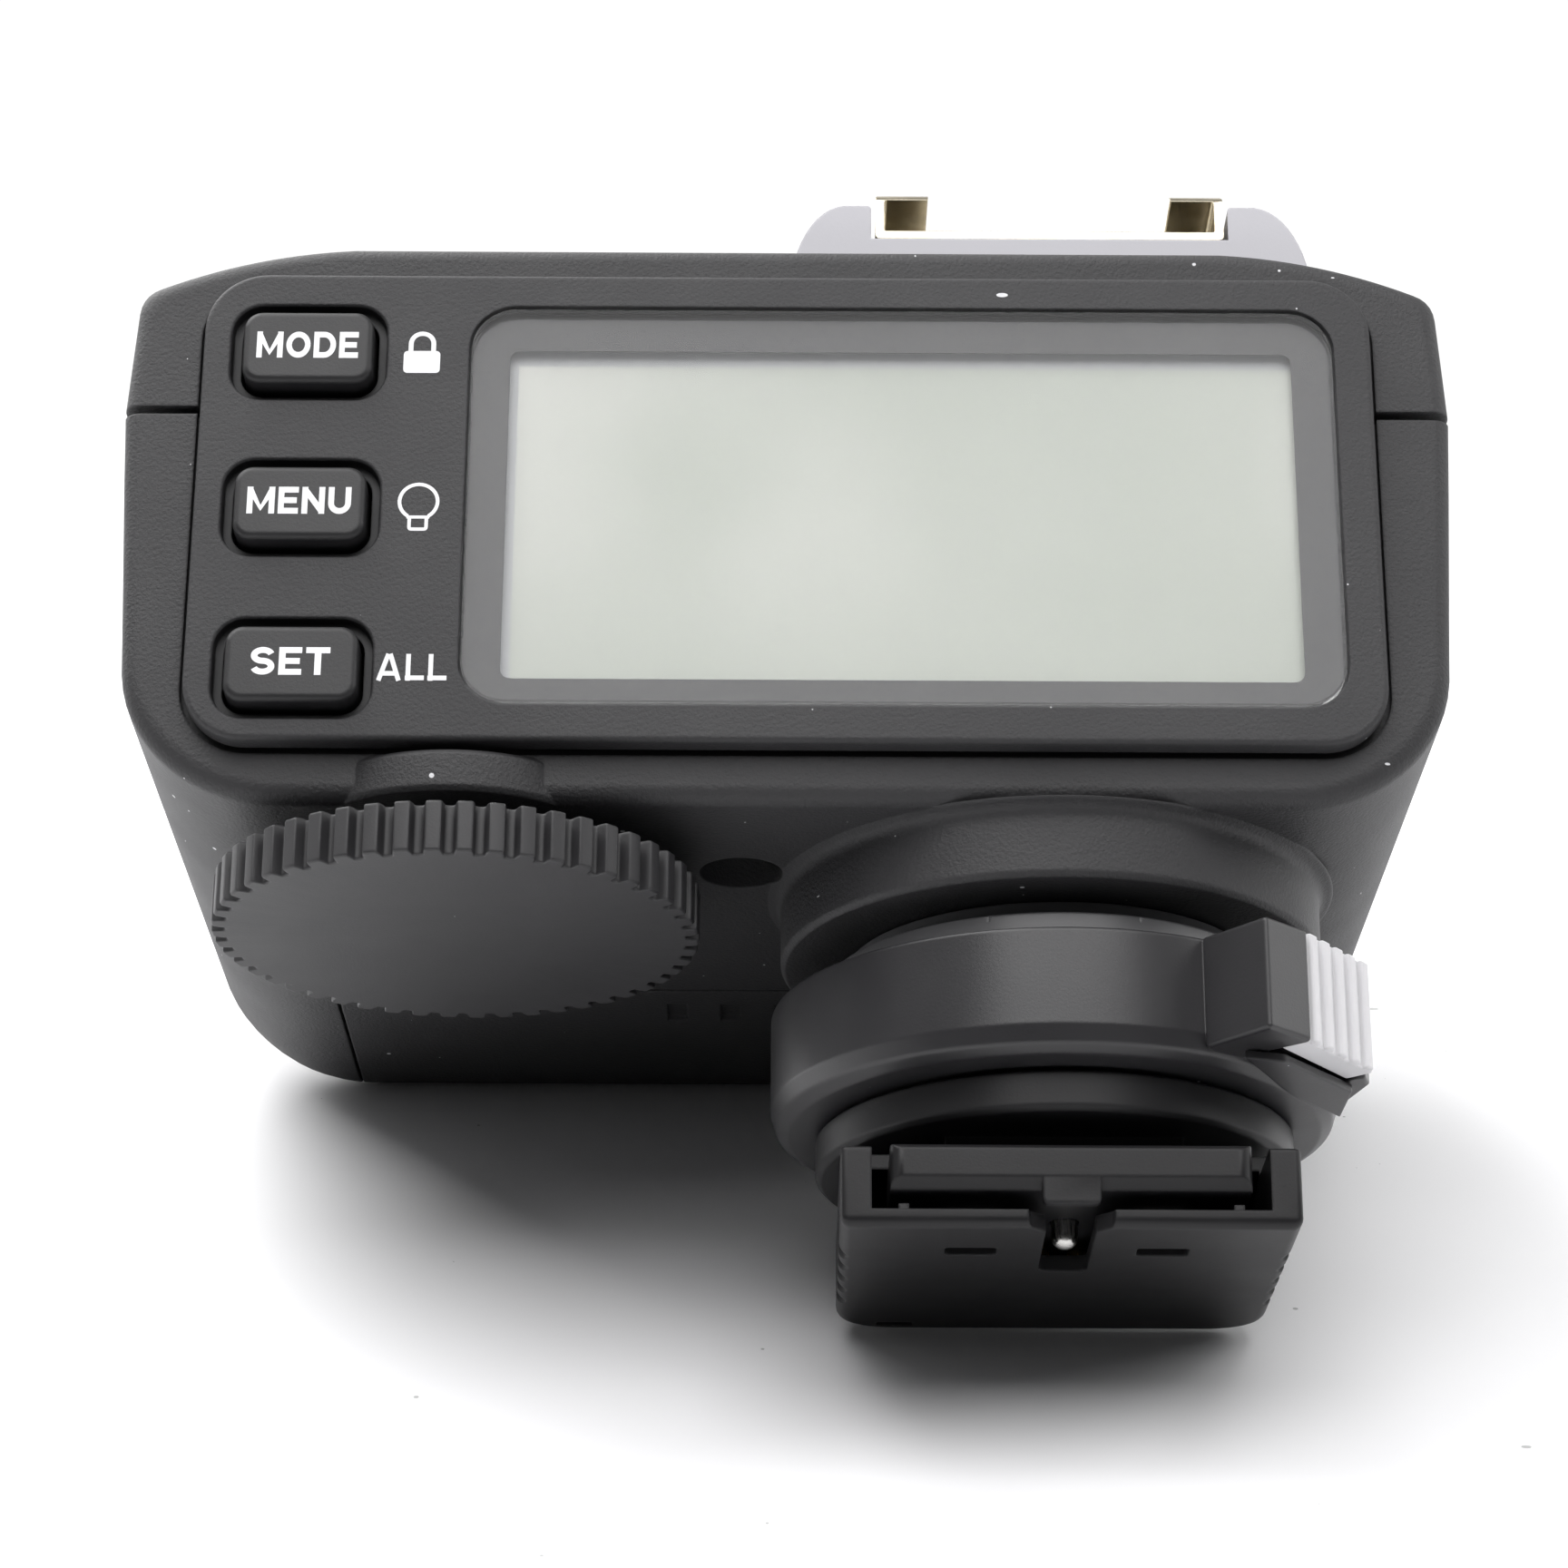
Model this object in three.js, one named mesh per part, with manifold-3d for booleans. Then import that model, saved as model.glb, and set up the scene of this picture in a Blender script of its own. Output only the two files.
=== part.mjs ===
// Wireless flash trigger that slides into a camera's accessory shoe.
// Millimetres. +Z up, +Y to the front of the camera, +X to the right of the display.
// Origin: on the lock ring's axis, at the flat bottom face of the cap over the shoe foot.
import * as THREE from 'three';
import { mergeVertices } from 'three/addons/utils/BufferGeometryUtils.js';
import Module from 'manifold-3d';

const wasm = await Module();
wasm.setup();

// ---- driving dimensions -------------------------------------------------------------------
// The housing is drawn from its own centre line (X = 0) and rear face (Y = 0), then shifted.
const BODY_X = -14.8;
const REAR_Y = -14.9;
const HALF_W = 36.4;
const DEPTH = 52;
const UNDER_Z = 22.5;
const SEAM_Z = 45.5;
const TOP_Z = 55.9;
const WALL = 1.8;
const SEAM_GAP = 0.25; // half of the groove between the two shells
const CLEAR = 0.15; // usual assembly clearance on a side

const FOOT = { x: 14.8, y: 14.9 }; // axis of the lock ring, column and stem
const PANEL = { x0: -32, x1: 32, z0: 25.4, z1: 53.3, proud: 1.3, r: 3.4 };
const GLASS = { x0: -17.3, x1: 29.85, z0: 27.6, z1: 51.2, r: 2.5, thick: 0.9 };
const LCD = { x0: -16, x1: 28.4, z0: 28.4, z1: 49.6 };
const KEY = { x: -26.2, w: 7.1, h: 4.35, r: 1, proud: 0.75 };
const KEY_ROWS = { mode_button: 48.4, menu_button: 38.95, set_button: 29.5 };
const DIAL = { x: -17.7, y: 7.6, r: 13.15, root: 12.2, teeth: 50, z0: 17.5, z1: 20.3 };
const SHAFT_R = 3;
const COLUMN = { r: 15, z0: 18.4 };
const STEM = { r: 11.4, collar: 12.6 };
const RING = { r: 15.5, bore: 11.6, z0: 8.6, z1: 15.4 };
const DISC = { r: 13.05, z0: 6.2, z1: 8.4 };
const SHOE_PLATE = { half: 9.3, y0: 1.5, y1: 20, z0: 1.9, z1: 4.25 };
const NECK_HALF = 6.25;
const CAP = { half: 11.85, y0: 2, y1: 22.7, top: 4.25, floor: 0.9, wall: 1.6, corner: 3 };
const GRIP = { r: 0.75, pitch: 2.2, rows: [0, 1, 2, 3, 4] }; // finger grooves on the cap's sides
const LOCK_PIN = { y: 7.9, r: 0.7, tip: 0.45, top: 13.2 };
const SHOE = { x: 14.8, y0: 2.5, length: 21, deck: 57.9, half: 9.35, lip: 6.85, sheet: 0.5 };
const CELL = { r: 7.25, length: 50.5 };
const CELLS = [{ y: 42.2, z: 32.1 }, { y: 28, z: 36.3 }];
const DOOR = { half: 26.6, y0: 30.2, top: 32.9, hinge: { y: 50.9, z: 33.1 }, knuckle: 1.1 };
const BOARD = 1.2; // thickness of the circuit boards
const DISPLAY_BOARD_Y = 5.4;
const MAIN_BOARD_Z = 47.2;
const TOP_KEY = { w: 7.4, d: 4.4, r: 1, x: -9.5, y0: 10.5, pitch: 7.1, proud: 0.7 };
const TEST_KEY = { x: -22.4, y: 13, r: 4.2 };
const LAMP = { x0: -23, x1: -5, z0: 46.9, z1: 51.7 };
const SWITCH = { z: 36, power_y: 15, beam_y: 29, travel: 3 };
const PORT = { y: 14, z: 37, w: 8.94, h: 3.26 };
const JACK = { y: 28, z: 37, r: 3 };
const SCREW = { x: -2.4, y: 10.5, head: 2.3, shank: 1 };

// ---- finishes -----------------------------------------------------------------------------
const finish = (color, roughness, metalness = 0) => ({ color, roughness, metalness });
const SHELL = finish(0x232325, 0.62);
const SMOOTH = finish(0x1b1b1d, 0.45);
const KEYS = finish(0x141416, 0.4);
const GREY = finish(0xb9babb, 0.5);
const SCREEN = finish(0xb7bbb0, 0.3);
const WINDOW = finish(0x3b3c40, 0.1);
const RED = finish(0x7a0d10, 0.15);
const SILICONE = finish(0x8f9091, 0.7);
const BOARD_GREEN = finish(0x12512e, 0.5);
const STEEL = finish(0xb4b2ac, 0.3, 1);
const BRASS = finish(0xc9b583, 0.25, 1);
const GOLD = finish(0xd6ab4c, 0.25, 1);
const WRAP = finish(0x2f6f54, 0.4);
const LIGHT = finish(0xe9e9e4, 0.4);

// ---- solids -------------------------------------------------------------------------------
function solid(geometry) {
  geometry.deleteAttribute('normal');
  geometry.deleteAttribute('uv');
  const merged = mergeVertices(geometry, 1e-5);
  return new wasm.Manifold(new wasm.Mesh({
    numProp: 3,
    vertProperties: merged.attributes.position.array,
    triVerts: new Uint32Array(merged.index.array),
  }));
}

function join(first, ...others) {
  return others.reduce((whole, piece) => whole.add(piece), first);
}

function cut(first, ...others) {
  return others.reduce((whole, piece) => whole.subtract(piece), first);
}

function block(x0, x1, y0, y1, z0, z1) {
  const geometry = new THREE.BoxGeometry(x1 - x0, y1 - y0, z1 - z0);
  return solid(geometry.translate((x0 + x1) / 2, (y0 + y1) / 2, (z0 + z1) / 2));
}

// An upright round: every ring of the profile is [radius, height], first and last on the axis.
function turned(profile, x, y, sides = 24) {
  const points = profile.map(([r, z]) => new THREE.Vector2(r, z));
  const geometry = new THREE.LatheGeometry(points, sides).rotateX(Math.PI / 2);
  return solid(geometry.translate(x, y, 0));
}

function drum(r, z0, z1, x, y, sides = 24) {
  return turned([[0, z0], [r, z0], [r, z1], [0, z1]], x, y, sides);
}

function rodAlongX(r, x0, x1, y, z, sides = 16) {
  const geometry = new THREE.CylinderGeometry(r, r, x1 - x0, sides).rotateZ(Math.PI / 2);
  return solid(geometry.translate((x0 + x1) / 2, y, z));
}

function rodAlongY(r, y0, y1, x, z, sides = 16) {
  const geometry = new THREE.CylinderGeometry(r, r, y1 - y0, sides);
  return solid(geometry.translate(x, (y0 + y1) / 2, z));
}

// Extrusions of a flat outline: upright along Z, backwards to front along Y, sideways along X.
function alongZ(shape, z0, z1, curveSegments = 4) {
  const geometry = new THREE.ExtrudeGeometry(shape, { depth: z1 - z0, bevelEnabled: false, curveSegments });
  return solid(geometry.translate(0, 0, z0));
}

function alongY(shape, y0, y1, curveSegments = 4) {
  const geometry = new THREE.ExtrudeGeometry(shape, { depth: y1 - y0, bevelEnabled: false, curveSegments });
  return solid(geometry.rotateX(Math.PI / 2).translate(0, y1, 0));
}

function alongX(shape, x0, x1, curveSegments = 4) {
  const geometry = new THREE.ExtrudeGeometry(shape, { depth: x1 - x0, bevelEnabled: false, curveSegments });
  return solid(geometry.rotateY(Math.PI / 2).rotateX(Math.PI / 2).translate(x0, 0, 0));
}

function roundedRectangle(x0, x1, y0, y1, r) {
  const shape = new THREE.Shape();
  shape.moveTo(x0 + r, y0);
  shape.lineTo(x1 - r, y0);
  shape.absarc(x1 - r, y0 + r, r, -Math.PI / 2, 0);
  shape.lineTo(x1, y1 - r);
  shape.absarc(x1 - r, y1 - r, r, 0, Math.PI / 2);
  shape.lineTo(x0 + r, y1);
  shape.absarc(x0 + r, y1 - r, r, Math.PI / 2, Math.PI);
  shape.lineTo(x0, y0 + r);
  shape.absarc(x0 + r, y0 + r, r, Math.PI, Math.PI * 1.5);
  return shape;
}

function polygon(points) {
  return new THREE.Shape(points.map(([x, y]) => new THREE.Vector2(x, y)));
}

// An upright compression spring whose wire starts at the origin's height.
function coilSpring(radius, turns, pitch, wire = 0.15) {
  const stepsPerTurn = 8;
  const points = [];
  for (let step = 0; step <= turns * stepsPerTurn; step += 1) {
    const turn = (step / stepsPerTurn) * Math.PI * 2;
    const rise = (pitch * step) / stepsPerTurn;
    points.push(new THREE.Vector3(radius * Math.cos(turn), radius * Math.sin(turn), rise));
  }
  const section = polygon([[-wire, -wire], [wire, -wire], [wire, wire], [-wire, wire]]);
  return solid(new THREE.ExtrudeGeometry(section, {
    steps: turns * stepsPerTurn, extrudePath: new THREE.CatmullRomCurve3(points), bevelEnabled: false,
  }));
}

// ---- scene graph --------------------------------------------------------------------------
const trigger = new THREE.Group();
const housing = new THREE.Group();
housing.position.set(BODY_X, REAR_Y, 0);
trigger.add(housing);

function piece(name, shape, look, parent = housing) {
  const mesh = shape.getMesh();
  const geometry = new THREE.BufferGeometry();
  geometry.setAttribute('position', new THREE.BufferAttribute(mesh.vertProperties, 3));
  geometry.setIndex(new THREE.BufferAttribute(mesh.triVerts, 1));
  const node = new THREE.Mesh(geometry, new THREE.MeshStandardMaterial(look));
  node.name = name;
  parent.add(node);
}

// ---- housing ------------------------------------------------------------------------------
// Rear view of the housing: wide lower corners, nearly upright sides, shallow shoulders.
function rearOutline(inset) {
  const midZ = (UNDER_Z + TOP_Z) / 2;
  const x = (value) => value * (1 - inset / HALF_W);
  const z = (value) => midZ + (value - midZ) * (1 - (2 * inset) / (TOP_Z - UNDER_Z));
  const shape = new THREE.Shape();
  shape.moveTo(x(-27), z(UNDER_Z));
  shape.lineTo(x(27), z(UNDER_Z));
  shape.bezierCurveTo(x(31.4), z(UNDER_Z), x(35.2), z(25.6), x(35.6), z(30));
  shape.lineTo(x(HALF_W), z(SEAM_Z));
  shape.lineTo(x(36), z(51.8));
  shape.quadraticCurveTo(x(35.9), z(53), x(34.9), z(53.4));
  shape.quadraticCurveTo(x(29.8), z(55.6), x(24.2), z(TOP_Z));
  shape.lineTo(x(-24.2), z(TOP_Z));
  shape.quadraticCurveTo(x(-29.8), z(55.6), x(-34.9), z(53.4));
  shape.quadraticCurveTo(x(-35.9), z(53), x(-36), z(51.8));
  shape.lineTo(x(-HALF_W), z(SEAM_Z));
  shape.lineTo(x(-35.6), z(30));
  shape.bezierCurveTo(x(-35.2), z(25.6), x(-31.4), z(UNDER_Z), x(-27), z(UNDER_Z));
  return shape;
}

function hull(inset) {
  const front = 5 - inset / 2;
  const side = new THREE.Shape();
  side.moveTo(inset, UNDER_Z + inset);
  side.lineTo(DEPTH - inset - front, UNDER_Z + inset);
  side.absarc(DEPTH - inset - front, UNDER_Z + inset + front, front, -Math.PI / 2, 0);
  side.lineTo(DEPTH - inset, TOP_Z - inset - front);
  side.absarc(DEPTH - inset - front, TOP_Z - inset - front, front, 0, Math.PI / 2);
  side.lineTo(inset, TOP_Z - inset);
  const corner = 8 - inset;
  const plan = new THREE.Shape();
  plan.moveTo(inset - HALF_W, inset);
  plan.lineTo(HALF_W - inset, inset);
  plan.lineTo(HALF_W - inset, DEPTH - inset - corner);
  plan.absarc(HALF_W - inset - corner, DEPTH - inset - corner, corner, 0, Math.PI / 2);
  plan.lineTo(inset - HALF_W + corner, DEPTH - inset);
  plan.absarc(inset - HALF_W + corner, DEPTH - inset - corner, corner, Math.PI / 2, Math.PI);
  return alongY(rearOutline(inset), inset, DEPTH - inset)
    .intersect(alongX(side, -HALF_W, HALF_W))
    .intersect(alongZ(plan, UNDER_Z, TOP_Z));
}

const outside = hull(0);
const skin = cut(outside, hull(WALL));
const everywhere = 60;
const rearWindow = block(-30.6, 30.6, -1, WALL + 1, 26.9, 51.8);
const doorBlank = block(-DOOR.half, DOOR.half, DOOR.y0, everywhere, 0, DOOR.top);
const doorway = block(-DOOR.half - 0.2, DOOR.half + 0.2, DOOR.y0 - 0.4, everywhere, 0, DOOR.top + 0.2);
const knuckleRoom = rodAlongX(
  DOOR.knuckle + 0.3, -DOOR.half - 0.2, DOOR.half + 0.2, DOOR.hinge.y, DOOR.hinge.z);
const swingRoom = block(-DOOR.half - 0.2, DOOR.half + 0.2, 51, everywhere, DOOR.top, DOOR.hinge.z + 1.55);

function lowerShell() {
  const low = block(-everywhere, everywhere, -everywhere, everywhere, 0, SEAM_Z - SEAM_GAP);
  const column = turned(
    [[0, COLUMN.z0], [14.6, COLUMN.z0], [COLUMN.r, 18.8], [COLUMN.r, 24], [0, 24]],
    FOOT.x, FOOT.y, 48);
  const dialBoss = drum(9.5, UNDER_Z, 24.9, DIAL.x, DIAL.y, 40);
  const screwBoss = drum(3.6, UNDER_Z, 33, SCREW.x, SCREW.y, 20);
  const hingeEars = [-1, 1].map((side) => {
    const x = side * (DOOR.half + 1.6);
    return block(x - 1.2, x + 1.2, 48.4, 50.6, 30.4, 36).intersect(hull(WALL - 0.2));
  });
  const shell = join(skin.intersect(low), column, dialBoss, screwBoss, ...hingeEars);
  return cut(shell,
    rearWindow, doorway, knuckleRoom, swingRoom,
    rodAlongX(0.65, -DOOR.half - 3.2, DOOR.half + 3.2, DOOR.hinge.y, DOOR.hinge.z),
    drum(8.15, COLUMN.z0 - 1, 26, FOOT.x, FOOT.y, 32),
    drum(4.2, UNDER_Z - 1, 26, DIAL.x, DIAL.y),
    drum(SCREW.head, UNDER_Z - 1, 26.5, SCREW.x, SCREW.y, 20),
    drum(SCREW.shank + CLEAR, 26, 34, SCREW.x, SCREW.y, 16),
    switchSlot(SWITCH.power_y), switchSlot(SWITCH.beam_y),
    block(30, 40, PORT.y - PORT.w / 2 - CLEAR, PORT.y + PORT.w / 2 + CLEAR,
      PORT.z - PORT.h / 2 - CLEAR, PORT.z + PORT.h / 2 + CLEAR),
    rodAlongX(JACK.r + CLEAR, 30, 40, JACK.y, JACK.z));
}

function switchSlot(y) {
  return block(-40, -30, y - 2.2, y + 2.2 + SWITCH.travel, SWITCH.z - 1.5, SWITCH.z + 1.5);
}

function topKeyRows() {
  return [0, 1, 2, 3, 4].map((row) => TOP_KEY.y0 + row * TOP_KEY.pitch);
}

function topKey(y, gap, z0, z1) {
  const w = TOP_KEY.w / 2 + gap;
  const d = TOP_KEY.d / 2 + gap;
  return alongZ(roundedRectangle(TOP_KEY.x - w, TOP_KEY.x + w, y - d, y + d, TOP_KEY.r + gap), z0, z1, 3);
}

function topCover() {
  const high = block(-everywhere, everywhere, -everywhere, everywhere, SEAM_Z + SEAM_GAP, everywhere);
  const tongue = cut(
    join(hull(WALL + CLEAR), hull(WALL - 0.2).intersect(high)), hull(WALL + 1))
    .intersect(block(-everywhere, everywhere, WALL + 2, everywhere, 43.6, 47));
  const lid = skin.intersect(high);
  const post = drum(3, 33.4, 54.6, SCREW.x, SCREW.y, 20);
  return cut(join(lid, tongue, post),
    rearWindow,
    drum(SCREW.shank - 0.05, 30, 42, SCREW.x, SCREW.y, 16),
    block(SHOE.x - 7, SHOE.x + 7, SHOE.y0 + 1.4, SHOE.y0 + 18.6, 50, 60),
    ...topKeyRows().map((y) => topKey(y, 0.2, 50, 60)),
    drum(TEST_KEY.r + 0.2, 50, 60, TEST_KEY.x, TEST_KEY.y),
    drum(1.1, 50, 60, TEST_KEY.x, TEST_KEY.y + 10, 12),
    block(LAMP.x0 - 0.1, LAMP.x1 + 0.1, 47, 54, LAMP.z0 - 0.1, LAMP.z1 + 0.1));
}

piece('lower_shell', lowerShell(), SHELL);
piece('top_cover', topCover(), SHELL);

// ---- display and keys on the rear face ----------------------------------------------------
function keySolid(z, gap, y0, y1) {
  const w = KEY.w / 2 + gap;
  const h = KEY.h / 2 + gap;
  return alongY(roundedRectangle(KEY.x - w, KEY.x + w, z - h, z + h, KEY.r + gap), y0, y1, 3);
}

function bezelPanel() {
  const face = alongY(roundedRectangle(PANEL.x0, PANEL.x1, PANEL.z0, PANEL.z1, PANEL.r), -PANEL.proud, 0, 5);
  const plug = block(-30.3, 30.3, -0.2, 1.6, 27.2, 51.6);
  const pocket = alongY(
    roundedRectangle(GLASS.x0 - 0.1, GLASS.x1 + 0.1, GLASS.z0 - 0.1, GLASS.z1 + 0.1, GLASS.r),
    -5, -PANEL.proud + GLASS.thick + 0.1);
  const wells = Object.values(KEY_ROWS).flatMap((z) => [
    keySolid(z, 0.68, -5, -PANEL.proud + 0.8),
    keySolid(z, 0.2, -5, 3),
  ]);
  const window = block(LCD.x0 - CLEAR, LCD.x1 + CLEAR, -5, 3, LCD.z0 - CLEAR, LCD.z1 + CLEAR);
  return cut(join(face, plug), pocket, window, ...wells);
}

piece('bezel_panel', bezelPanel(), SMOOTH);
piece('lcd_glass', alongY(roundedRectangle(GLASS.x0, GLASS.x1, GLASS.z0, GLASS.z1, GLASS.r),
  -PANEL.proud, -PANEL.proud + GLASS.thick), WINDOW);
piece('lcd_module', block(LCD.x0, LCD.x1, 0.2, 2.1, LCD.z0, LCD.z1), SCREEN);
piece('lcd_backlight', block(LCD.x0, LCD.x1, 2.4, 4.9, LCD.z0, LCD.z1), LIGHT);

for (const [name, z] of Object.entries(KEY_ROWS)) {
  const front = -PANEL.proud - KEY.proud;
  const flange = keySolid(z, 0.5, 2.4, 3.1);
  const stem = rodAlongY(1.2, 3, 4, KEY.x, z, 10);
  piece(name, join(keySolid(z, 0, front, 2.5), flange, stem), KEYS);
}
piece('key_membrane', block(-30.2, -22.2, 4.7, 5.3, 27.3, 51.4), SILICONE);

const encoderNotch = block(-24.3, -11.1, 0, 20, 20, 29.6);
piece('display_board', cut(
  block(-30.2, 30.2, DISPLAY_BOARD_Y, DISPLAY_BOARD_Y + BOARD, 26, 51.4), encoderNotch), BOARD_GREEN);
piece('main_board', cut(
  block(-30, 30, 8.2, 46.5, MAIN_BOARD_Z, MAIN_BOARD_Z + BOARD),
  drum(3.4, 40, 50, SCREW.x, SCREW.y, 16)), BOARD_GREEN);
piece('radio_module', block(-2, 16, 28, 42, MAIN_BOARD_Z + BOARD, MAIN_BOARD_Z + BOARD + 2.2), STEEL);
piece('buzzer', drum(4.5, MAIN_BOARD_Z + BOARD, MAIN_BOARD_Z + BOARD + 3, -24, 26, 20), KEYS);

// ---- selection dial under the rear edge ---------------------------------------------------
// Each tooth's outline as [radius, share of the pitch].
const TOOTH = [[DIAL.root, 0], [DIAL.r, 0.1], [DIAL.r, 0.5], [DIAL.root, 0.6]];

function dialOutline() {
  const pitch = (Math.PI * 2) / DIAL.teeth;
  const corners = [];
  for (let tooth = 0; tooth < DIAL.teeth; tooth += 1) {
    for (const [radius, share] of TOOTH) {
      const turn = (tooth + share) * pitch;
      corners.push([radius * Math.cos(turn), radius * Math.sin(turn)]);
    }
  }
  return polygon(corners);
}

const shaftHole = SHAFT_R / Math.cos(Math.PI / 24) + 0.04;
const dial = new THREE.Group();
dial.position.set(DIAL.x, DIAL.y, 0);
housing.add(dial);
piece('select_dial', cut(
  join(alongZ(dialOutline(), DIAL.z0, DIAL.z1), drum(5, DIAL.z1 - 0.5, 22.2, 0, 0)),
  drum(shaftHole, 18.9, 30, 0, 0)), SMOOTH, dial);
piece('encoder_shaft', drum(SHAFT_R, 19, 27.8, 0, 0), STEEL, dial);
piece('dial_encoder', cut(
  join(block(-4.3, 5.6, -5.4, 6, 25, 28.2), drum(4, 23, 25.5, 0, 0)),
  drum(shaftHole, 20, 27.9, 0, 0)), STEEL, dial);

// ---- keys, lamp and switches --------------------------------------------------------------
const SWITCH_TOP = MAIN_BOARD_Z + BOARD + 3; // height the key stems stop above the board
['a', 'b', 'c', 'd', 'e'].forEach((letter, row) => {
  const y = topKeyRows()[row];
  const cap = topKey(y, 0, 54.5, TOP_Z + TOP_KEY.proud);
  const flange = block(TOP_KEY.x - 3.95, TOP_KEY.x + 3.95, y - 2.6, y + 2.6, 52.7, 53.5);
  const stem = block(TOP_KEY.x - 1, TOP_KEY.x + 1, y - 1, y + 1, SWITCH_TOP, 53);
  piece(`group_${letter}_button`, join(cap, block(TOP_KEY.x - 3, TOP_KEY.x + 3, y - 1.8, y + 1.8, 53, 55),
    flange, stem), KEYS);
});
piece('test_button', join(
  drum(TEST_KEY.r, 53, TOP_Z + TOP_KEY.proud, TEST_KEY.x, TEST_KEY.y),
  drum(TEST_KEY.r + 0.7, 52.7, 53.4, TEST_KEY.x, TEST_KEY.y),
  drum(1.2, SWITCH_TOP, 53, TEST_KEY.x, TEST_KEY.y, 10)), GREY);
piece('status_lamp', drum(1, 52, TOP_Z, TEST_KEY.x, TEST_KEY.y + 10, 12), RED);

function slideSwitch(y) {
  const knob = block(-37.3, -33.5, y - 1.8, y + 1.8, SWITCH.z - 1.25, SWITCH.z + 1.25);
  const slider = block(-33.6, -32.6, y - 3.2, y + 3.2, SWITCH.z - 2.4, SWITCH.z + 2.4);
  return join(knob, slider);
}

piece('power_switch', slideSwitch(SWITCH.power_y), KEYS);
piece('beam_switch', slideSwitch(SWITCH.beam_y), KEYS);
piece('switch_board', block(-32.4, -31.2, 9.5, 42, 31.5, 40.5), BOARD_GREEN);
piece('beam_lens', block(LAMP.x0, LAMP.x1, 49.4, 51.9, LAMP.z0, LAMP.z1), RED);
piece('beam_lamp', rodAlongY(1.5, 44.6, 48.6, (LAMP.x0 + LAMP.x1) / 2, 50.4, 12), LIGHT);

// ---- sockets on the right side ------------------------------------------------------------
function usbSocket() {
  const shell = block(29.2, 36.1, PORT.y - PORT.w / 2, PORT.y + PORT.w / 2,
    PORT.z - PORT.h / 2, PORT.z + PORT.h / 2);
  const mouth = block(31, 37, PORT.y - PORT.w / 2 + 0.3, PORT.y + PORT.w / 2 - 0.3,
    PORT.z - PORT.h / 2 + 0.3, PORT.z + PORT.h / 2 - 0.3);
  const tongue = block(30.5, 35.4, PORT.y - 3.3, PORT.y + 3.3, PORT.z - 0.35, PORT.z + 0.35);
  return join(cut(shell, mouth), tongue);
}

piece('usb_socket', usbSocket(), STEEL);
piece('sync_socket', cut(rodAlongX(JACK.r, 29.2, 36.5, JACK.y, JACK.z, 20),
  rodAlongX(1.25, 30.5, 37, JACK.y, JACK.z, 16)), STEEL);

// ---- batteries ----------------------------------------------------------------------------
function batteryTray() {
  const [front, back] = CELLS;
  const reach = 27.6;
  const bores = CELLS.map(({ y, z }) => rodAlongX(CELL.r + 0.35, -reach, reach, y, z, 28));
  const passage = solid(new THREE.BoxGeometry(reach * 2, 14, CELL.r * 2 + 0.7)
    .rotateX(Math.atan2(front.z - back.z, front.y - back.y))
    .translate(0, (front.y + back.y) / 2, (front.z + back.z) / 2));
  const mouth = block(-reach, reach, front.y - CELL.r - 0.4, 55, 20, front.z);
  const frontSide = block(-reach, reach, front.y, 55, front.z - 1, 36);
  const blank = block(-28.6, 28.6, 19.4, 49.6, 24.8, 44.7).intersect(hull(WALL + 0.3));
  return cut(blank, ...bores, passage, mouth, frontSide,
    block(-28.8, 28.8, 46.6, 55, 20, 36.6), block(-28.8, 28.8, 48.6, 55, 43, 50),
    drum(15.4, 20, 26, FOOT.x, FOOT.y, 32));
}

function cell({ y, z }, positiveSide) {
  const nose = CELL.length / 2;
  const can = rodAlongX(CELL.r, -nose + 0.4, nose - 1.4, y, z, 28);
  const nub = rodAlongX(2.7, nose - 1.5, nose, y, z, 16);
  return positiveSide > 0 ? join(can, nub) : join(can, nub).mirror([1, 0, 0]);
}

piece('battery_tray', batteryTray(), SMOOTH);
piece('battery_cell_front', cell(CELLS[0], 1), WRAP);
piece('battery_cell_back', cell(CELLS[1], -1), WRAP);

// Spring cones press on the flat end of a cell, plates on its button end.
function springCone({ y, z }, side) {
  const cone = [[0, 0], [4.2, 0], [4.2, 0.4], [1.8, 1.9], [0, 1.9]];
  const points = cone.map(([r, h]) => new THREE.Vector2(r, h));
  const geometry = new THREE.LatheGeometry(points, 14).rotateZ(side > 0 ? Math.PI / 2 : -Math.PI / 2);
  return solid(geometry.translate(side * 27.2, y, z));
}

function endPlate({ y, z }, side) {
  const x = side * 27.3;
  return block(x - 0.2, x + 0.2, y - 5, y + 5, z - 5, z + 5);
}

function buttonPlate({ y, z }, side) {
  return join(endPlate({ y, z }, side),
    rodAlongX(2.4, Math.min(side * 25.6, side * 27.2), Math.max(side * 25.6, side * 27.2), y, z, 12));
}

const bridge = block(27.1, 27.5, CELLS[1].y, CELLS[0].y, 32, 36);
piece('bridge_contact', join(
  buttonPlate(CELLS[0], 1), endPlate(CELLS[1], 1), springCone(CELLS[1], 1), bridge), STEEL);
piece('negative_contact', join(endPlate(CELLS[0], -1), springCone(CELLS[0], -1)), STEEL);
piece('positive_contact', buttonPlate(CELLS[1], -1), STEEL);

function batteryDoor() {
  const panel = skin.intersect(doorBlank);
  const knuckle = rodAlongX(DOOR.knuckle, -25.8, 25.8, DOOR.hinge.y, DOOR.hinge.z);
  const back = block(-25.8, 25.8, 50.2, 51.6, 31, DOOR.hinge.z);
  const latch = block(-5, 5, DOOR.y0 + 0.1, DOOR.y0 + 1.5, 23.8, 24.6);
  return cut(join(panel, knuckle, back, latch),
    rodAlongX(0.68, -30, 30, DOOR.hinge.y, DOOR.hinge.z, 12));
}

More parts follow.
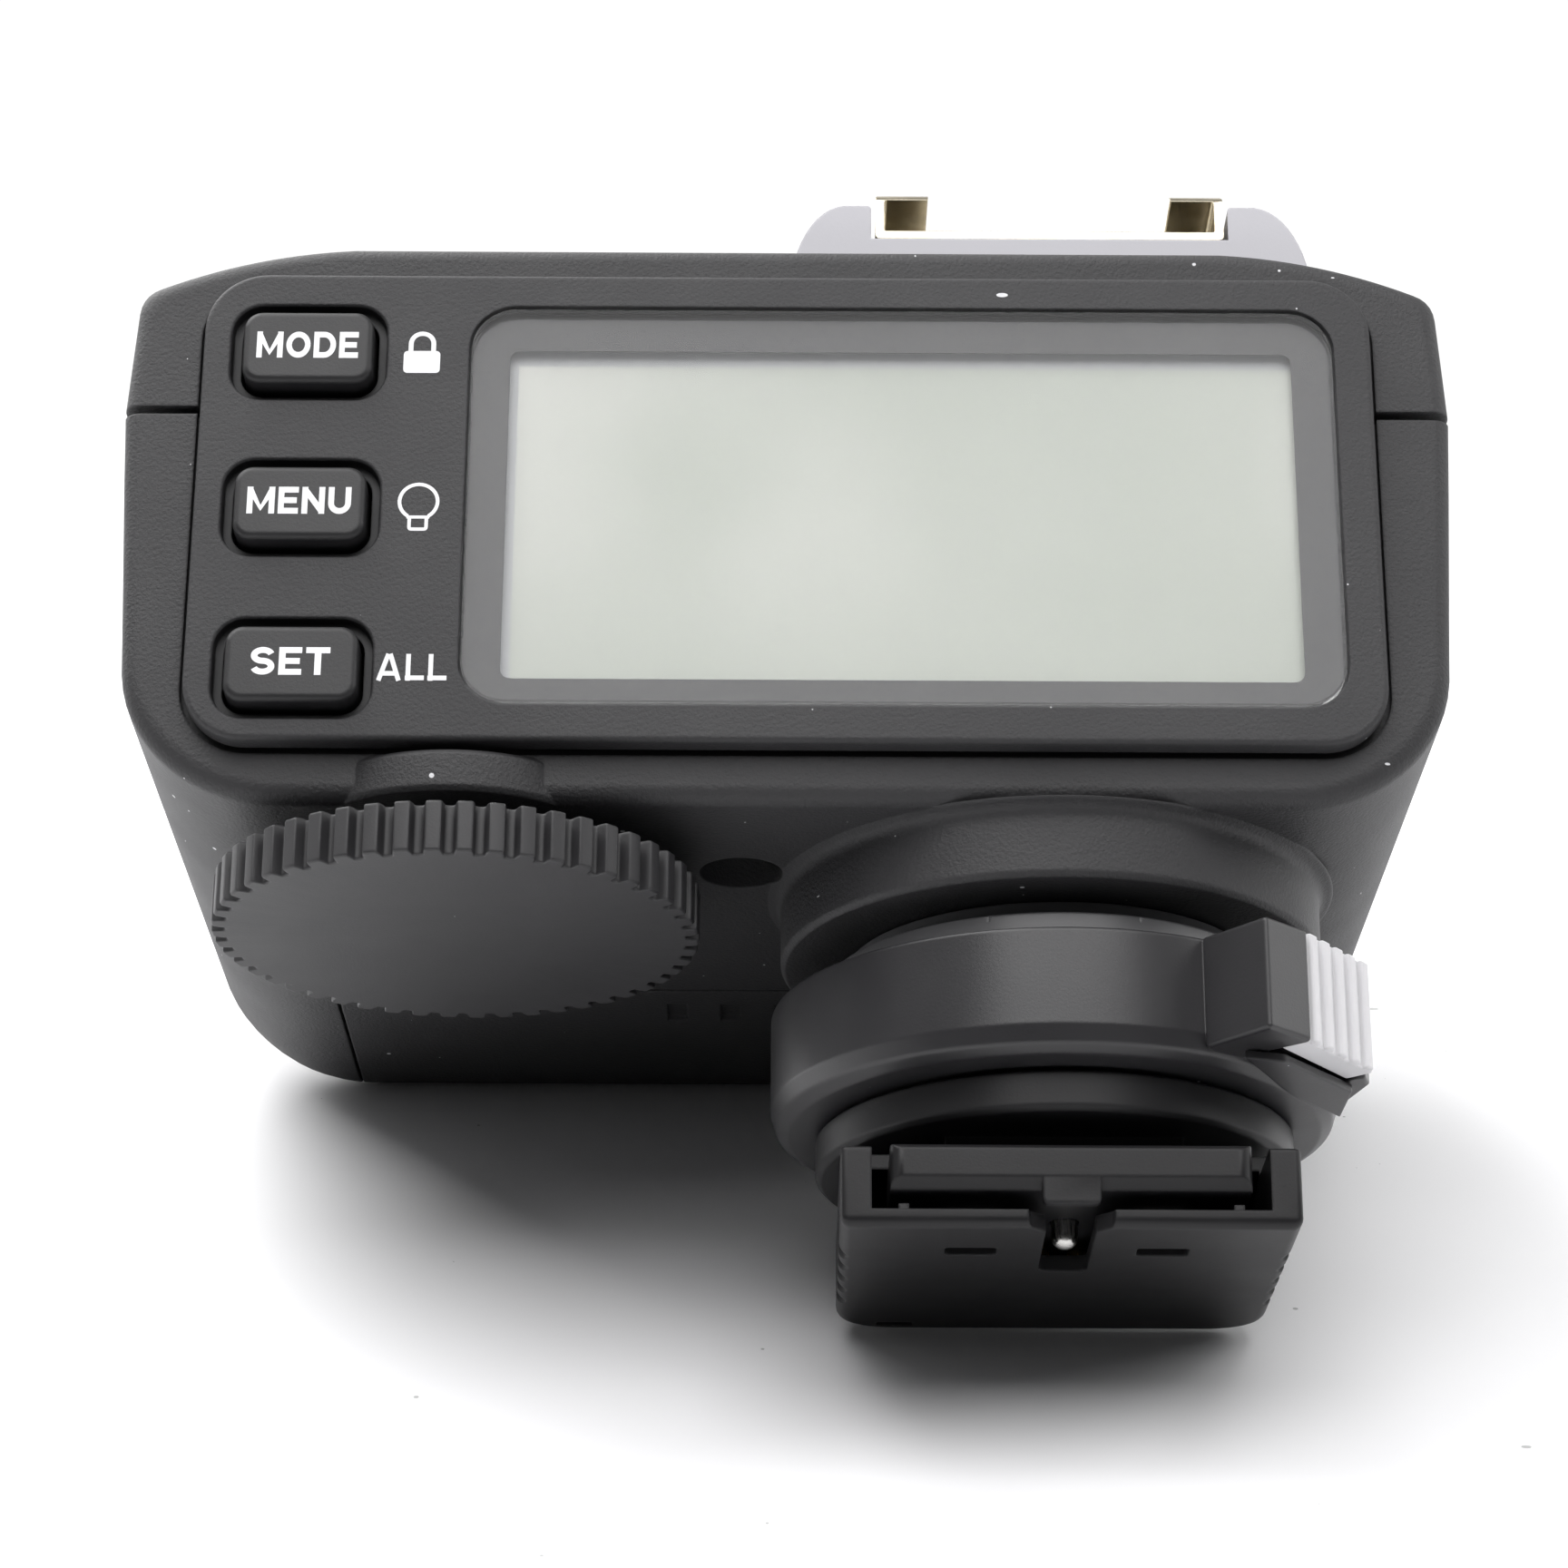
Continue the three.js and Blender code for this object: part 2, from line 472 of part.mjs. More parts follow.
piece('battery_door', batteryDoor(), SHELL);
piece('door_hinge_pin', rodAlongX(
  0.58, -DOOR.half - 2.4, DOOR.half + 2.4, DOOR.hinge.y, DOOR.hinge.z, 12), STEEL);

// ---- accessory shoe on top ----------------------------------------------------------------
function shoeBase() {
  const shape = new THREE.Shape();
  shape.moveTo(-14.7, 54.4);
  shape.bezierCurveTo(-14.6, 57.2, -13.4, 59.8, -11.6, 60);
  shape.lineTo(-10.1, 60);
  shape.lineTo(-10.1, SHOE.deck);
  shape.lineTo(10.1, SHOE.deck);
  shape.lineTo(10.1, 60);
  shape.lineTo(11.6, 60);
  shape.bezierCurveTo(13.4, 59.8, 14.6, 57.2, 14.7, 54.4);
  const base = alongY(shape, SHOE.y0, SHOE.y0 + SHOE.length, 5).translate(SHOE.x, 0, 0);
  const seat = cut(base, outside);
  const plug = block(SHOE.x - 6.9, SHOE.x + 6.9, SHOE.y0 + 1.5, SHOE.y0 + 18.5, 54.2, 56.4);
  const screwHoles = shoeScrewPlaces().map(([x, y]) => drum(0.95, 50, 60, x, y, 12));
  return cut(join(seat, plug), contactPocket(CLEAR), ...screwHoles);
}

function shoeScrewPlaces() {
  return [-1, 1].flatMap((side) => [6, 17.5].map((y) => [SHOE.x + side * 5.6, SHOE.y0 + y]));
}

function contactPocket(gap) {
  return block(SHOE.x - 4.2 - gap, SHOE.x + 4.2 + gap, SHOE.y0 + 3 - gap, SHOE.y0 + 16 + gap, 50, 60);
}

function shoeRail() {
  const [z0, z1] = [SHOE.deck, SHOE.deck + 3];
  const y1 = SHOE.y0 + 19;
  const channel = polygon([
    [-SHOE.half - SHOE.sheet, z0], [SHOE.half + SHOE.sheet, z0], [SHOE.half + SHOE.sheet, z1],
    [SHOE.lip, z1], [SHOE.lip, z1 - SHOE.sheet], [SHOE.half, z1 - SHOE.sheet], [SHOE.half, z0 + SHOE.sheet],
    [-SHOE.half, z0 + SHOE.sheet], [-SHOE.half, z1 - SHOE.sheet], [-SHOE.lip, z1 - SHOE.sheet],
    [-SHOE.lip, z1], [-SHOE.half - SHOE.sheet, z1],
  ]);
  const rail = alongY(channel, SHOE.y0, y1).translate(SHOE.x, 0, 0);
  const stop = block(SHOE.x - 9, SHOE.x + 9, y1 - 0.5, y1, z0, z0 + 1.6);
  const screwHoles = shoeScrewPlaces().map(([x, y]) => drum(0.95, 50, 60, x, y, 12));
  return cut(join(rail, stop), contactPocket(0.1), ...screwHoles);
}

const CONTACT_TOP = SHOE.deck + SHOE.sheet + 0.02;
const dataContacts = [[-2.6, 12.6], [2.6, 12.6], [-2.6, 6], [2.6, 6]];

function shoeContactBlock() {
  const blank = contactPocket(0).intersect(block(-50, 50, -50, 50, 55, CONTACT_TOP));
  const holes = dataContacts.map(([x, y]) => drum(0.85, 50, 60, SHOE.x + x, SHOE.y0 + y, 12));
  return cut(blank, drum(1.95, 50, 60, SHOE.x, SHOE.y0 + 9.3, 16), ...holes);
}

function shoeDataContacts() {
  const feet = dataContacts.map(([x, y]) => drum(0.75, 54, CONTACT_TOP, SHOE.x + x, SHOE.y0 + y, 12));
  const strip = cut(block(SHOE.x - 3.6, SHOE.x + 3.6, SHOE.y0 + 5, SHOE.y0 + 13.6, 54, 54.7),
    drum(2.3, 50, 60, SHOE.x, SHOE.y0 + 9.3, 16));
  return join(strip, ...feet);
}

piece('shoe_base', shoeBase(), SMOOTH);
piece('shoe_rail', shoeRail(), BRASS);
piece('shoe_contact_block', shoeContactBlock(), KEYS);
piece('shoe_data_contacts', shoeDataContacts(), GOLD);
piece('shoe_center_contact', drum(1.8, 54, CONTACT_TOP, SHOE.x, SHOE.y0 + 9.3, 16), GOLD);
shoeScrewPlaces().forEach(([x, y], index) => {
  piece(`shoe_screw_${index + 1}`, drum(0.85, 55.4, SHOE.deck + SHOE.sheet, x, y, 12), STEEL);
});
piece('shell_screw', join(drum(1.9, 25.2, 26.45, SCREW.x, SCREW.y, 16),
  drum(SCREW.shank - 0.1, 26, 39, SCREW.x, SCREW.y, 12)), STEEL);

// ---- foot, lock ring and cap --------------------------------------------------------------
const foot = new THREE.Group();
foot.position.set(FOOT.x, FOOT.y, 0);
housing.add(foot);
const PIN_Y = LOCK_PIN.y - FOOT.y;

// The stem carries the foot; its collar keeps the ring down and its spigot plugs into the column.
function footStem() {
  const profile = [[0, DISC.z1], [STEM.r, DISC.z1], [STEM.r, 15.6], [STEM.collar, 15.6], [STEM.collar, 17.3],
    [STEM.r, 17.3], [STEM.r, 18.3], [8, 18.3], [8, 25], [0, 25]];
  const springWell = drum(1.3, DISC.z1 - 1, 15.2, 0, PIN_Y, 16);
  return cut(turned(profile, 0, 0, 32), springWell, drum(4, 14, 30, 0, 0, 20), contactWell());
}

function contactWell() {
  return block(-4.6, 4.6, -2.6, 3.4, 3, 11);
}

function footBase() {
  const { half, y0, y1, z0, z1 } = SHOE_PLATE;
  const plate = alongX(polygon([
    [y0 - FOOT.y, z0 + 0.5], [y0 - FOOT.y + 0.5, z0], [y1 - FOOT.y - 0.8, z0],
    [y1 - FOOT.y, z0 + 0.8], [y1 - FOOT.y, z1], [y0 - FOOT.y, z1],
  ]), -half, half);
  const neck = block(-NECK_HALF, NECK_HALF, y0 - FOOT.y + 5, y1 - FOOT.y - 0.6, z1 - 0.2, DISC.z0 + 0.2);
  const disc = turned([[0, DISC.z0], [DISC.r, DISC.z0], [DISC.r, DISC.z1], [0, DISC.z1]], 0, 0, 48);
  const tab = block(-1.5, 1.5, y0 - FOOT.y, y0 - FOOT.y + 0.7, z0 - 0.8, z0 + 0.6);
  return cut(join(plate, neck, disc, tab),
    drum(LOCK_PIN.r / Math.cos(Math.PI / 12) + 0.05, 0, 12, 0, PIN_Y, 12), contactWell(), contactHoles(0.1));
}

const footContacts = [[-3, -1.4], [-1, -1.4], [1, -1.4], [3, -1.4], [0, 2]];

function contactHoles(gap) {
  const holes = footContacts.map(([x, y]) => drum(0.6 + gap, 1.15, 5, x, y, 10));
  return join(holes[0], ...holes.slice(1));
}

piece('foot_stem', footStem(), GREY, foot);
piece('foot_base', footBase(), SMOOTH, foot);
piece('foot_contacts', join(block(-4.4, 4.4, -2.4, 3.2, 4.2, 5.4), contactHoles(0)), GOLD, foot);
piece('lock_pin', join(
  turned([[0, LOCK_PIN.tip], [0.4, LOCK_PIN.tip + 0.1], [LOCK_PIN.r, LOCK_PIN.tip + 0.6],
    [LOCK_PIN.r, LOCK_PIN.top], [0, LOCK_PIN.top]], 0, PIN_Y, 12),
  drum(1.15, 9.1, 9.9, 0, PIN_Y, 12)), STEEL, foot);

piece('lock_pin_spring', coilSpring(0.95, 4, 1.15).translate([0, PIN_Y, 10.25]), STEEL, foot);

// The ring carries a wedge-shaped boss, and the release button sits between its two ends.
const BUTTON = { from: [12.45, -14.95], to: [16.45, -9.85], thick: 1.9, z0: 9.35, z1: 15.4 };
const BUTTON_RIBS = 5;
// Outlines of the ring's pieces, seen from above.
const WEDGE = [[7.3, -13.75], [10, -17.2], [12.4, -15], [11, -12.2], [9, -11.6]];
const HEEL = [[13.4, -6.2], [13.9, -8.6], [15.9, -9.1], [16.3, -7.8], [15.1, -3.4], [13.4, -3.2]];
const FLANGE = [[9, -14], [11.2, -13.4], [15.3, -8.4], [15.2, -4], [12, -8]];
const buttonLength = Math.hypot(BUTTON.to[0] - BUTTON.from[0], BUTTON.to[1] - BUTTON.from[1]);
const buttonTurn = Math.atan2(BUTTON.to[1] - BUTTON.from[1], BUTTON.to[0] - BUTTON.from[0]);

// A solid drawn with X along the button's outer face and -Y outwards, moved to its place.
function atButton(shape) {
  return shape.rotate([0, 0, (buttonTurn * 180) / Math.PI]).translate([BUTTON.from[0], BUTTON.from[1], 0]);
}

function lockRing() {
  const body = turned([
    [RING.bore, RING.z0 + 0.1], [13.3, RING.z0], [14.6, RING.z0 + 0.2],
    [RING.r, RING.z0 + 1.4], [RING.r, RING.z1], [RING.bore, RING.z1],
    [RING.bore, RING.z0 + 0.1],
  ], 0, 0, 56);
  const wedge = alongZ(polygon(WEDGE), RING.z0 + 0.7, RING.z1);
  const heel = alongZ(polygon(HEEL), RING.z0 + 0.7, RING.z1);
  const flange = alongZ(polygon(FLANGE), RING.z0 + 0.1, RING.z0 + 0.6);
  const bore = drum(RING.bore, 0, 20, 0, 0, 56);
  const buttonRoom = atButton(block(-0.15, buttonLength + 0.15, -1, BUTTON.thick + 1.4, 9.2, 20));
  const postRoom = atButton(block(buttonLength / 2 - 1.9, buttonLength / 2 + 1.9, 1, 5.6, 10.4, 14.2));
  return cut(join(body, wedge, heel, flange), bore, buttonRoom, postRoom);
}

function releaseButton() {
  const ribs = [];
  for (let rib = 0; rib < BUTTON_RIBS; rib += 1) {
    const x = (buttonLength / BUTTON_RIBS) * (rib + 0.5);
    ribs.push(block(x - 0.35, x + 0.35, 0, 0.5, BUTTON.z0, BUTTON.z1));
  }
  const slab = block(0, buttonLength, 0.3, BUTTON.thick, BUTTON.z0, BUTTON.z1);
  const post = block(buttonLength / 2 - 0.5, buttonLength / 2 + 0.5, 1.5, 3.4, 11.8, 12.8);
  return atButton(join(slab, post, ...ribs));
}

function releaseSpring() {
  return atButton(coilSpring(1.3, 3, 0.52).rotate([-90, 0, 0])
    .translate([buttonLength / 2, BUTTON.thick + 0.2, 12.3]));
}

piece('lock_ring', lockRing(), SMOOTH, foot);
piece('release_button', releaseButton(), GREY, foot);
piece('release_spring', releaseSpring(), STEEL, foot);

function footCap() {
  const front = CAP.y1 - FOOT.y;
  const rear = CAP.y0 - FOOT.y;
  const plan = new THREE.Shape();
  plan.moveTo(-CAP.half, rear);
  plan.lineTo(CAP.half, rear);
  plan.lineTo(CAP.half, front - CAP.corner);
  plan.absarc(CAP.half - CAP.corner, front - CAP.corner, CAP.corner, 0, Math.PI / 2);
  plan.lineTo(-CAP.half + CAP.corner, front);
  plan.absarc(-CAP.half + CAP.corner, front - CAP.corner, CAP.corner, Math.PI / 2, Math.PI);
  const inner = CAP.half - CAP.wall;
  const cavity = block(-inner, inner, rear - 1, front - 1.8, CAP.floor, 8);
  const walls = alongZ(plan, 0, CAP.top);
  const lips = [-1, 1].map((side) => block(
    Math.min(side * 7, side * (inner + 0.5)), Math.max(side * 7, side * (inner + 0.5)),
    rear + 5, front - 1.2, SHOE_PLATE.z1 + 0.25, SHOE_PLATE.z1 + 1.05));
  const risers = [-1, 1].map((side) => block(
    Math.min(side * inner, side * (inner + 1)), Math.max(side * inner, side * (inner + 1)),
    rear + 5, front - 1.2, CAP.top - 0.5, SHOE_PLATE.z1 + 1.05));
  const notch = alongZ(roundedRectangle(-1.3, 1.3, rear - 4, 10.6 - FOOT.y, 0.6), -1, 2, 3);
  const slots = [-1, 1].map((side) => block(side * 5 - 1.35, side * 5 + 1.35,
    6.5 - FOOT.y, 7.3 - FOOT.y, -1, 2));
  const grips = [-1, 1].flatMap((side) => GRIP.rows.map((row) => drum(
    GRIP.r, -1, 3.4, side * (CAP.half + 0.3), rear + 6 + row * GRIP.pitch, 10)));
  return cut(join(cut(walls, cavity), ...risers, ...lips), notch, ...slots, ...grips);
}

piece('foot_cap', footCap(), SMOOTH, foot);

export default trigger;
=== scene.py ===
"""Wireless flash trigger: the finished model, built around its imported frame."""

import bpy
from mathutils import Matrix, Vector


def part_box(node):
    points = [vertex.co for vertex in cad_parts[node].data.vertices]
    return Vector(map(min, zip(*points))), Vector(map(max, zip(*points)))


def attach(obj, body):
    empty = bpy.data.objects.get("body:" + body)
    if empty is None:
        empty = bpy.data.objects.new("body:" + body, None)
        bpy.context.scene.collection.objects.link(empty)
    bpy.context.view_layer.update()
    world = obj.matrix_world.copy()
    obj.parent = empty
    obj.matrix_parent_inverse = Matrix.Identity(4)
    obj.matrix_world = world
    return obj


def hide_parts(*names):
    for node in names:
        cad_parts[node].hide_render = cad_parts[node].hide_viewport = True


bl_info = {
    "name": "Wireless flash trigger",
    "version": (1, 0, 0),
    "blender": (4, 5, 0),
    "location": "View3D > Sidebar > Flash trigger",
    "description": "Builds the finished wireless flash trigger around its packed frame",
    "category": "Object",
}

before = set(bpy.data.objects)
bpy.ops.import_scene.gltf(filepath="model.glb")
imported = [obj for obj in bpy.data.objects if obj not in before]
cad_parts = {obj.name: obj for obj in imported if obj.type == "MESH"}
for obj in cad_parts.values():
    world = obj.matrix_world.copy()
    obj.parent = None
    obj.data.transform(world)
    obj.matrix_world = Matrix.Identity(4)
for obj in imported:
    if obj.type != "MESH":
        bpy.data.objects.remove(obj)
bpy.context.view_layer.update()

import math

import bmesh
import bpy
import numpy as np
from mathutils import Matrix, Vector

MM = 0.001
QUARTER = math.pi / 2
FULL = math.pi * 2
ORIGIN = (0.0, 0.0, 0.0)


def span(node):
    """Lowest and highest corner of a CAD node, in millimetres."""
    lo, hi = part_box(node)
    return [c / MM for c in lo], [c / MM for c in hi]


def middle(node):
    lo, hi = span(node)
    return [(a + b) / 2 for a, b in zip(lo, hi)]


# ---- datums, read from the frame (millimetres) ----------------------------------------------
# The housing is drawn from its own centre line and rear face, then shifted by HOUSE.
HOUSE = (middle("bezel_panel")[0], span("top_cover")[0][1], 0.0)


def drawn(node):
    """A CAD node's corners in the housing's own coordinates."""
    lo, hi = span(node)
    return [c - s for c, s in zip(lo, HOUSE)], [c - s for c, s in zip(hi, HOUSE)]


def centre_of(node):
    """A CAD node's centre in the housing's own coordinates."""
    lo, hi = drawn(node)
    return [(a + b) / 2 for a, b in zip(lo, hi)]


HALF_W = (drawn("lower_shell")[1][0] - drawn("lower_shell")[0][0]) / 2
DEPTH = drawn("top_cover")[1][1]
TOP_Z = drawn("top_cover")[1][2]
UNDER_Z = 22.5  # flat underside
SEAM_Z = 45.5  # groove between the two shells
SEAM_GAP = 0.25  # half of that groove
WALL = 1.8
FOOT_X, FOOT_Y = -HOUSE[0], -HOUSE[1]
FACE_Y = drawn("bezel_panel")[0][1]
DIAL_X, DIAL_Y, _ = centre_of("select_dial")
DIAL_LOW = drawn("select_dial")[0][2]
DIAL_TOP = DIAL_LOW + 2.8  # upper face of the toothed part
SCREW_X, SCREW_Y = -2.4, 10.5
DOOR_HALF = 26.6
DOOR_Y = 30.2
DOOR_TOP = 32.9
_, HINGE_Y, HINGE_Z = centre_of("door_hinge_pin")
SHOE_X = FOOT_X
SHOE_Y = drawn("shoe_base")[0][1]
SHOE_LENGTH = drawn("shoe_base")[1][1] - SHOE_Y
DECK_Z = drawn("shoe_rail")[0][2]
GROUPS = ("a", "b", "c", "d", "e")
FACE_KEYS = ("mode", "menu", "set")


# ---- settings a user would change -----------------------------------------------------------
def length_setting(label, text, value):
    return bpy.props.FloatProperty(name=label, description=text, default=value * MM, unit="LENGTH", precision=5)


def colour_setting(label, text, value):
    return bpy.props.FloatVectorProperty(
        name=label, description=text, default=value, subtype="COLOR", size=3, min=0.0, max=1.0)


class TriggerFinish(bpy.types.PropertyGroup):
    """Colours and surface finish."""

    shell: colour_setting("Shell", "Colour of the textured housing", (0.022, 0.0216, 0.0232))
    smooth: colour_setting("Smooth plastic", "Colour of the dial, ring and panel", (0.021, 0.0205, 0.0222))
    keys: colour_setting("Keys", "Colour of the face keys", (0.012, 0.0118, 0.0128))
    pale: colour_setting("Pale plastic", "Colour of the release button", (0.62, 0.615, 0.63))
    legend: colour_setting("Legends", "Colour of the printed words and signs", (0.86, 0.86, 0.88))
    screen: colour_setting("Screen", "Colour of the unlit display", (0.232, 0.249, 0.218))
    brass: colour_setting("Shoe rail", "Colour of the plated rail", (0.66, 0.6, 0.47))
    grain: length_setting("Grain", "Size of the moulded grain on the housing", 0.22)


class TriggerSizes(bpy.types.PropertyGroup):
    """Edge roundings and repeated features."""

    rear_edge: length_setting("Rear edge", "Rounding between the housing's rear face and its sides", 1.0)
    panel_edge: length_setting("Panel edge", "Rounding of the display panel's front edge", 0.3)
    key_edge: length_setting("Key edge", "Rounding of the face keys", 0.4)
    dial_edge: length_setting("Dial edge", "Rounding of the dial's rims", 0.16)
    dial_teeth: bpy.props.IntProperty(name="Dial teeth", description="Teeth round the dial", default=50, min=12)
    button_ribs: bpy.props.IntProperty(name="Button ribs", description="Ribs on the release button", default=5, min=1)
    cap_grips: bpy.props.IntProperty(name="Cap grips", description="Finger grooves on a side of the cap", default=5)


class TriggerStage(bpy.types.PropertyGroup):
    """Camera and light."""

    lens: bpy.props.FloatProperty(
        name="Lens", description="Focal length on a 36 mm sensor", default=94.58, unit="CAMERA")
    key_light: bpy.props.FloatProperty(
        name="Key light", description="Radiance of the overhead soft box", default=4.0, min=0.0)
    floor: colour_setting("Floor", "Colour of the pale table", (0.94, 0.94, 0.95))


def sizes():
    return bpy.context.scene.trigger_sizes


def finish():
    return bpy.context.scene.trigger_finish


# ---- outlines -------------------------------------------------------------------------------
def arc(cx, cy, r, start, end, steps):
    turns = np.linspace(start, end, steps + 1)
    return [(cx + r * math.cos(t), cy + r * math.sin(t)) for t in turns]


def rectangle(x0, x1, y0, y1, r, inset=0.0, steps=8):
    """A rounded rectangle's outline, anticlockwise, drawn in by inset."""
    x0, x1, y0, y1 = x0 + inset, x1 - inset, y0 + inset, y1 - inset
    r = max(r - inset, 0.02)
    return (arc(x1 - r, y0 + r, r, -QUARTER, 0, steps) + arc(x1 - r, y1 - r, r, 0, QUARTER, steps)
            + arc(x0 + r, y1 - r, r, QUARTER, 2 * QUARTER, steps)
            + arc(x0 + r, y0 + r, r, 2 * QUARTER, 3 * QUARTER, steps))


def softened(points, radii, steps=5, closed=True):
    """A polygon or path with each corner rounded by its radius."""
    out, count = [], len(points)
    radii = radii if isinstance(radii, (list, tuple)) else [radii] * count
    for i, (point, r) in enumerate(zip(points, radii)):
        if r <= 0 or (not closed and i in (0, count - 1)):
            out.append(tuple(point))
            continue
        p = Vector(point).to_2d()
        a = Vector(points[i - 1]).to_2d() - p
        b = Vector(points[(i + 1) % count]).to_2d() - p
        half = max(a.angle(b) / 2, 0.05)
        reach = min(r / math.tan(half), a.length * 0.49, b.length * 0.49)
        start, end = p + a.normalized() * reach, p + b.normalized() * reach
        for k in range(steps + 1):
            t = k / steps
            q = start * (1 - t) ** 2 + p * 2 * t * (1 - t) + end * t ** 2
            out.append((q.x, q.y))
    return out


def edge_stations(a, b, round_a, round_b, steps=4):
    """(depth, inset) pairs from a to b with a quarter round at each end."""
    way = 1 if b > a else -1
    out = []
    if round_a > 0:
        for k in range(steps + 1):
            t = QUARTER * k / steps
            out.append((a + way * round_a * (1 - math.cos(t)), round_a * (1 - math.sin(t))))
    else:
        out.append((a, 0.0))
    if round_b > 0:
        for k in range(steps, -1, -1):
            t = QUARTER * k / steps
            out.append((b - way * round_b * (1 - math.cos(t)), round_b * (1 - math.sin(t))))
    else:
        out.append((b, 0.0))
    return out


# ---- solids ---------------------------------------------------------------------------------
def solid(name, points, faces, shift=HOUSE):
    mesh = bpy.data.meshes.new(name)
    mesh.from_pydata(((np.array(points, float) + shift) * MM).tolist(), [], faces)
    shape = bmesh.new()
    shape.from_mesh(mesh)
    bmesh.ops.remove_doubles(shape, verts=shape.verts, dist=1e-7)
    bmesh.ops.dissolve_degenerate(shape, edges=shape.edges, dist=1e-8)
    bmesh.ops.recalc_face_normals(shape, faces=shape.faces)
    shape.to_mesh(mesh)
    shape.free()
    obj = bpy.data.objects.new(name, mesh)
    bpy.context.scene.collection.objects.link(obj)
    return obj


def loft(name, rings, shift=HOUSE, closed=False):
    """Skins a stack of rings, and caps its ends unless it closes on itself."""
    n, count = len(rings[0]), len(rings)
    points = [p for ring in rings for p in ring]
    faces = []
    for r in range(count if closed else count - 1):
        s = (r + 1) % count
        for i in range(n):
            j = (i + 1) % n
            faces.append((r * n + i, r * n + j, s * n + j, s * n + i))
    if not closed:
        faces += [tuple(range(n - 1, -1, -1)), tuple(range((count - 1) * n, count * n))]
    return solid(name, points, faces, shift)


PLACE = {
    "x": lambda u, v, depth: (depth, u, v),
    "y": lambda u, v, depth: (u, depth, v),
    "z": lambda u, v, depth: (u, v, depth),
}


def pad(name, rect, axis, a, b, round_a=0.0, round_b=0.0, r=0.5, steps=8, shift=HOUSE):
    """A rounded rectangle (u0, u1, v0, v1) along an axis from a to b, its end edges rounded."""
    rings = [[PLACE[axis](u, v, d) for u, v in rectangle(*rect, r, inset, steps)]
             for d, inset in edge_stations(a, b, round_a, round_b)]
    return loft(name, rings, shift)


def block(name, x0, x1, y0, y1, z0, z1, shift=HOUSE):
    ring = [(x0, y0), (x1, y0), (x1, y1), (x0, y1)]
    return loft(name, [[(x, y, z) for x, y in ring] for z in (z0, z1)], shift)


def prism(name, outline, axis, a, b, shift=HOUSE):
    return loft(name, [[PLACE[axis](u, v, d) for u, v in outline] for d in (a, b)], shift)


def turned(name, profile, centre, axis="z", sides=96, closed=False, shift=HOUSE):
    """A lathe shape: (radius, depth) pairs round an axis through centre (its two other coordinates)."""
    rings = []
    for r, d in profile:
        rings.append([PLACE[axis](centre[0] + r * math.cos(t), centre[1] + r * math.sin(t), d)
                      for t in np.arange(sides) * FULL / sides])
    return loft(name, rings, shift, closed)


def rod(name, r, a, b, centre, axis="z", edge=0.0, sides=48, shift=HOUSE):
    profile = [(r - inset, d) for d, inset in edge_stations(a, b, edge, edge, 3)]
    return turned(name, profile, centre, axis, sides, shift=shift)


def settle(obj):
    """Applies an object's modifiers to its mesh."""
    graph = bpy.context.evaluated_depsgraph_get()
    mesh = bpy.data.meshes.new_from_object(obj.evaluated_get(graph))
    obj.modifiers.clear()
    old, obj.data = obj.data, mesh
    bpy.data.meshes.remove(old)
    return obj


def combine(obj, tools, how):
    for tool in tools:
        step = obj.modifiers.new(how, "BOOLEAN")
        step.operation, step.solver, step.object = how, "EXACT", tool
    settle(obj)
    for tool in set(tools):
        bpy.data.objects.remove(tool)
    return obj


def cut(obj, *tools):
    return combine(obj, tools, "DIFFERENCE")


def keep(obj, *tools):
    return combine(obj, tools, "INTERSECT")


def join(obj, *tools):
    return combine(obj, tools, "UNION")


def bevelled(obj, width, segments=3, angle=35):
    step = obj.modifiers.new("edges", "BEVEL")
    step.width, step.segments, step.limit_method = width * MM, segments, "ANGLE"
    step.angle_limit = math.radians(angle)
    step.use_clamp_overlap = True
    return settle(obj)


def gathered(name, *parts):
    """Several separate shells as one mesh."""
    shape = bmesh.new()
    for part in parts:
        shape.from_mesh(part.data)
    mesh = bpy.data.meshes.new(name)
    shape.to_mesh(mesh)
    shape.free()
    for part in parts:
        bpy.data.objects.remove(part)
    obj = bpy.data.objects.new(name, mesh)
    bpy.context.scene.collection.objects.link(obj)
    return obj


def copied(obj, name):
    twin = bpy.data.objects.new(name, obj.data.copy())
    bpy.context.scene.collection.objects.link(twin)
    return twin


def dress(obj, material, body, replaces=(), angle=32):
    """Shading, finish, body and the CAD nodes this piece stands for."""
    obj.data.materials.clear()
    obj.data.materials.append(material)
    obj.data.shade_smooth()
    obj.data.set_sharp_from_angle(angle=math.radians(angle))
    step = obj.modifiers.new("normals", "WEIGHTED_NORMAL")
    step.keep_sharp = True
    step.mode = "FACE_AREA_WITH_ANGLE"
    settle(obj)
    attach(obj, body)
    if replaces:
        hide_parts(*replaces)
    return obj


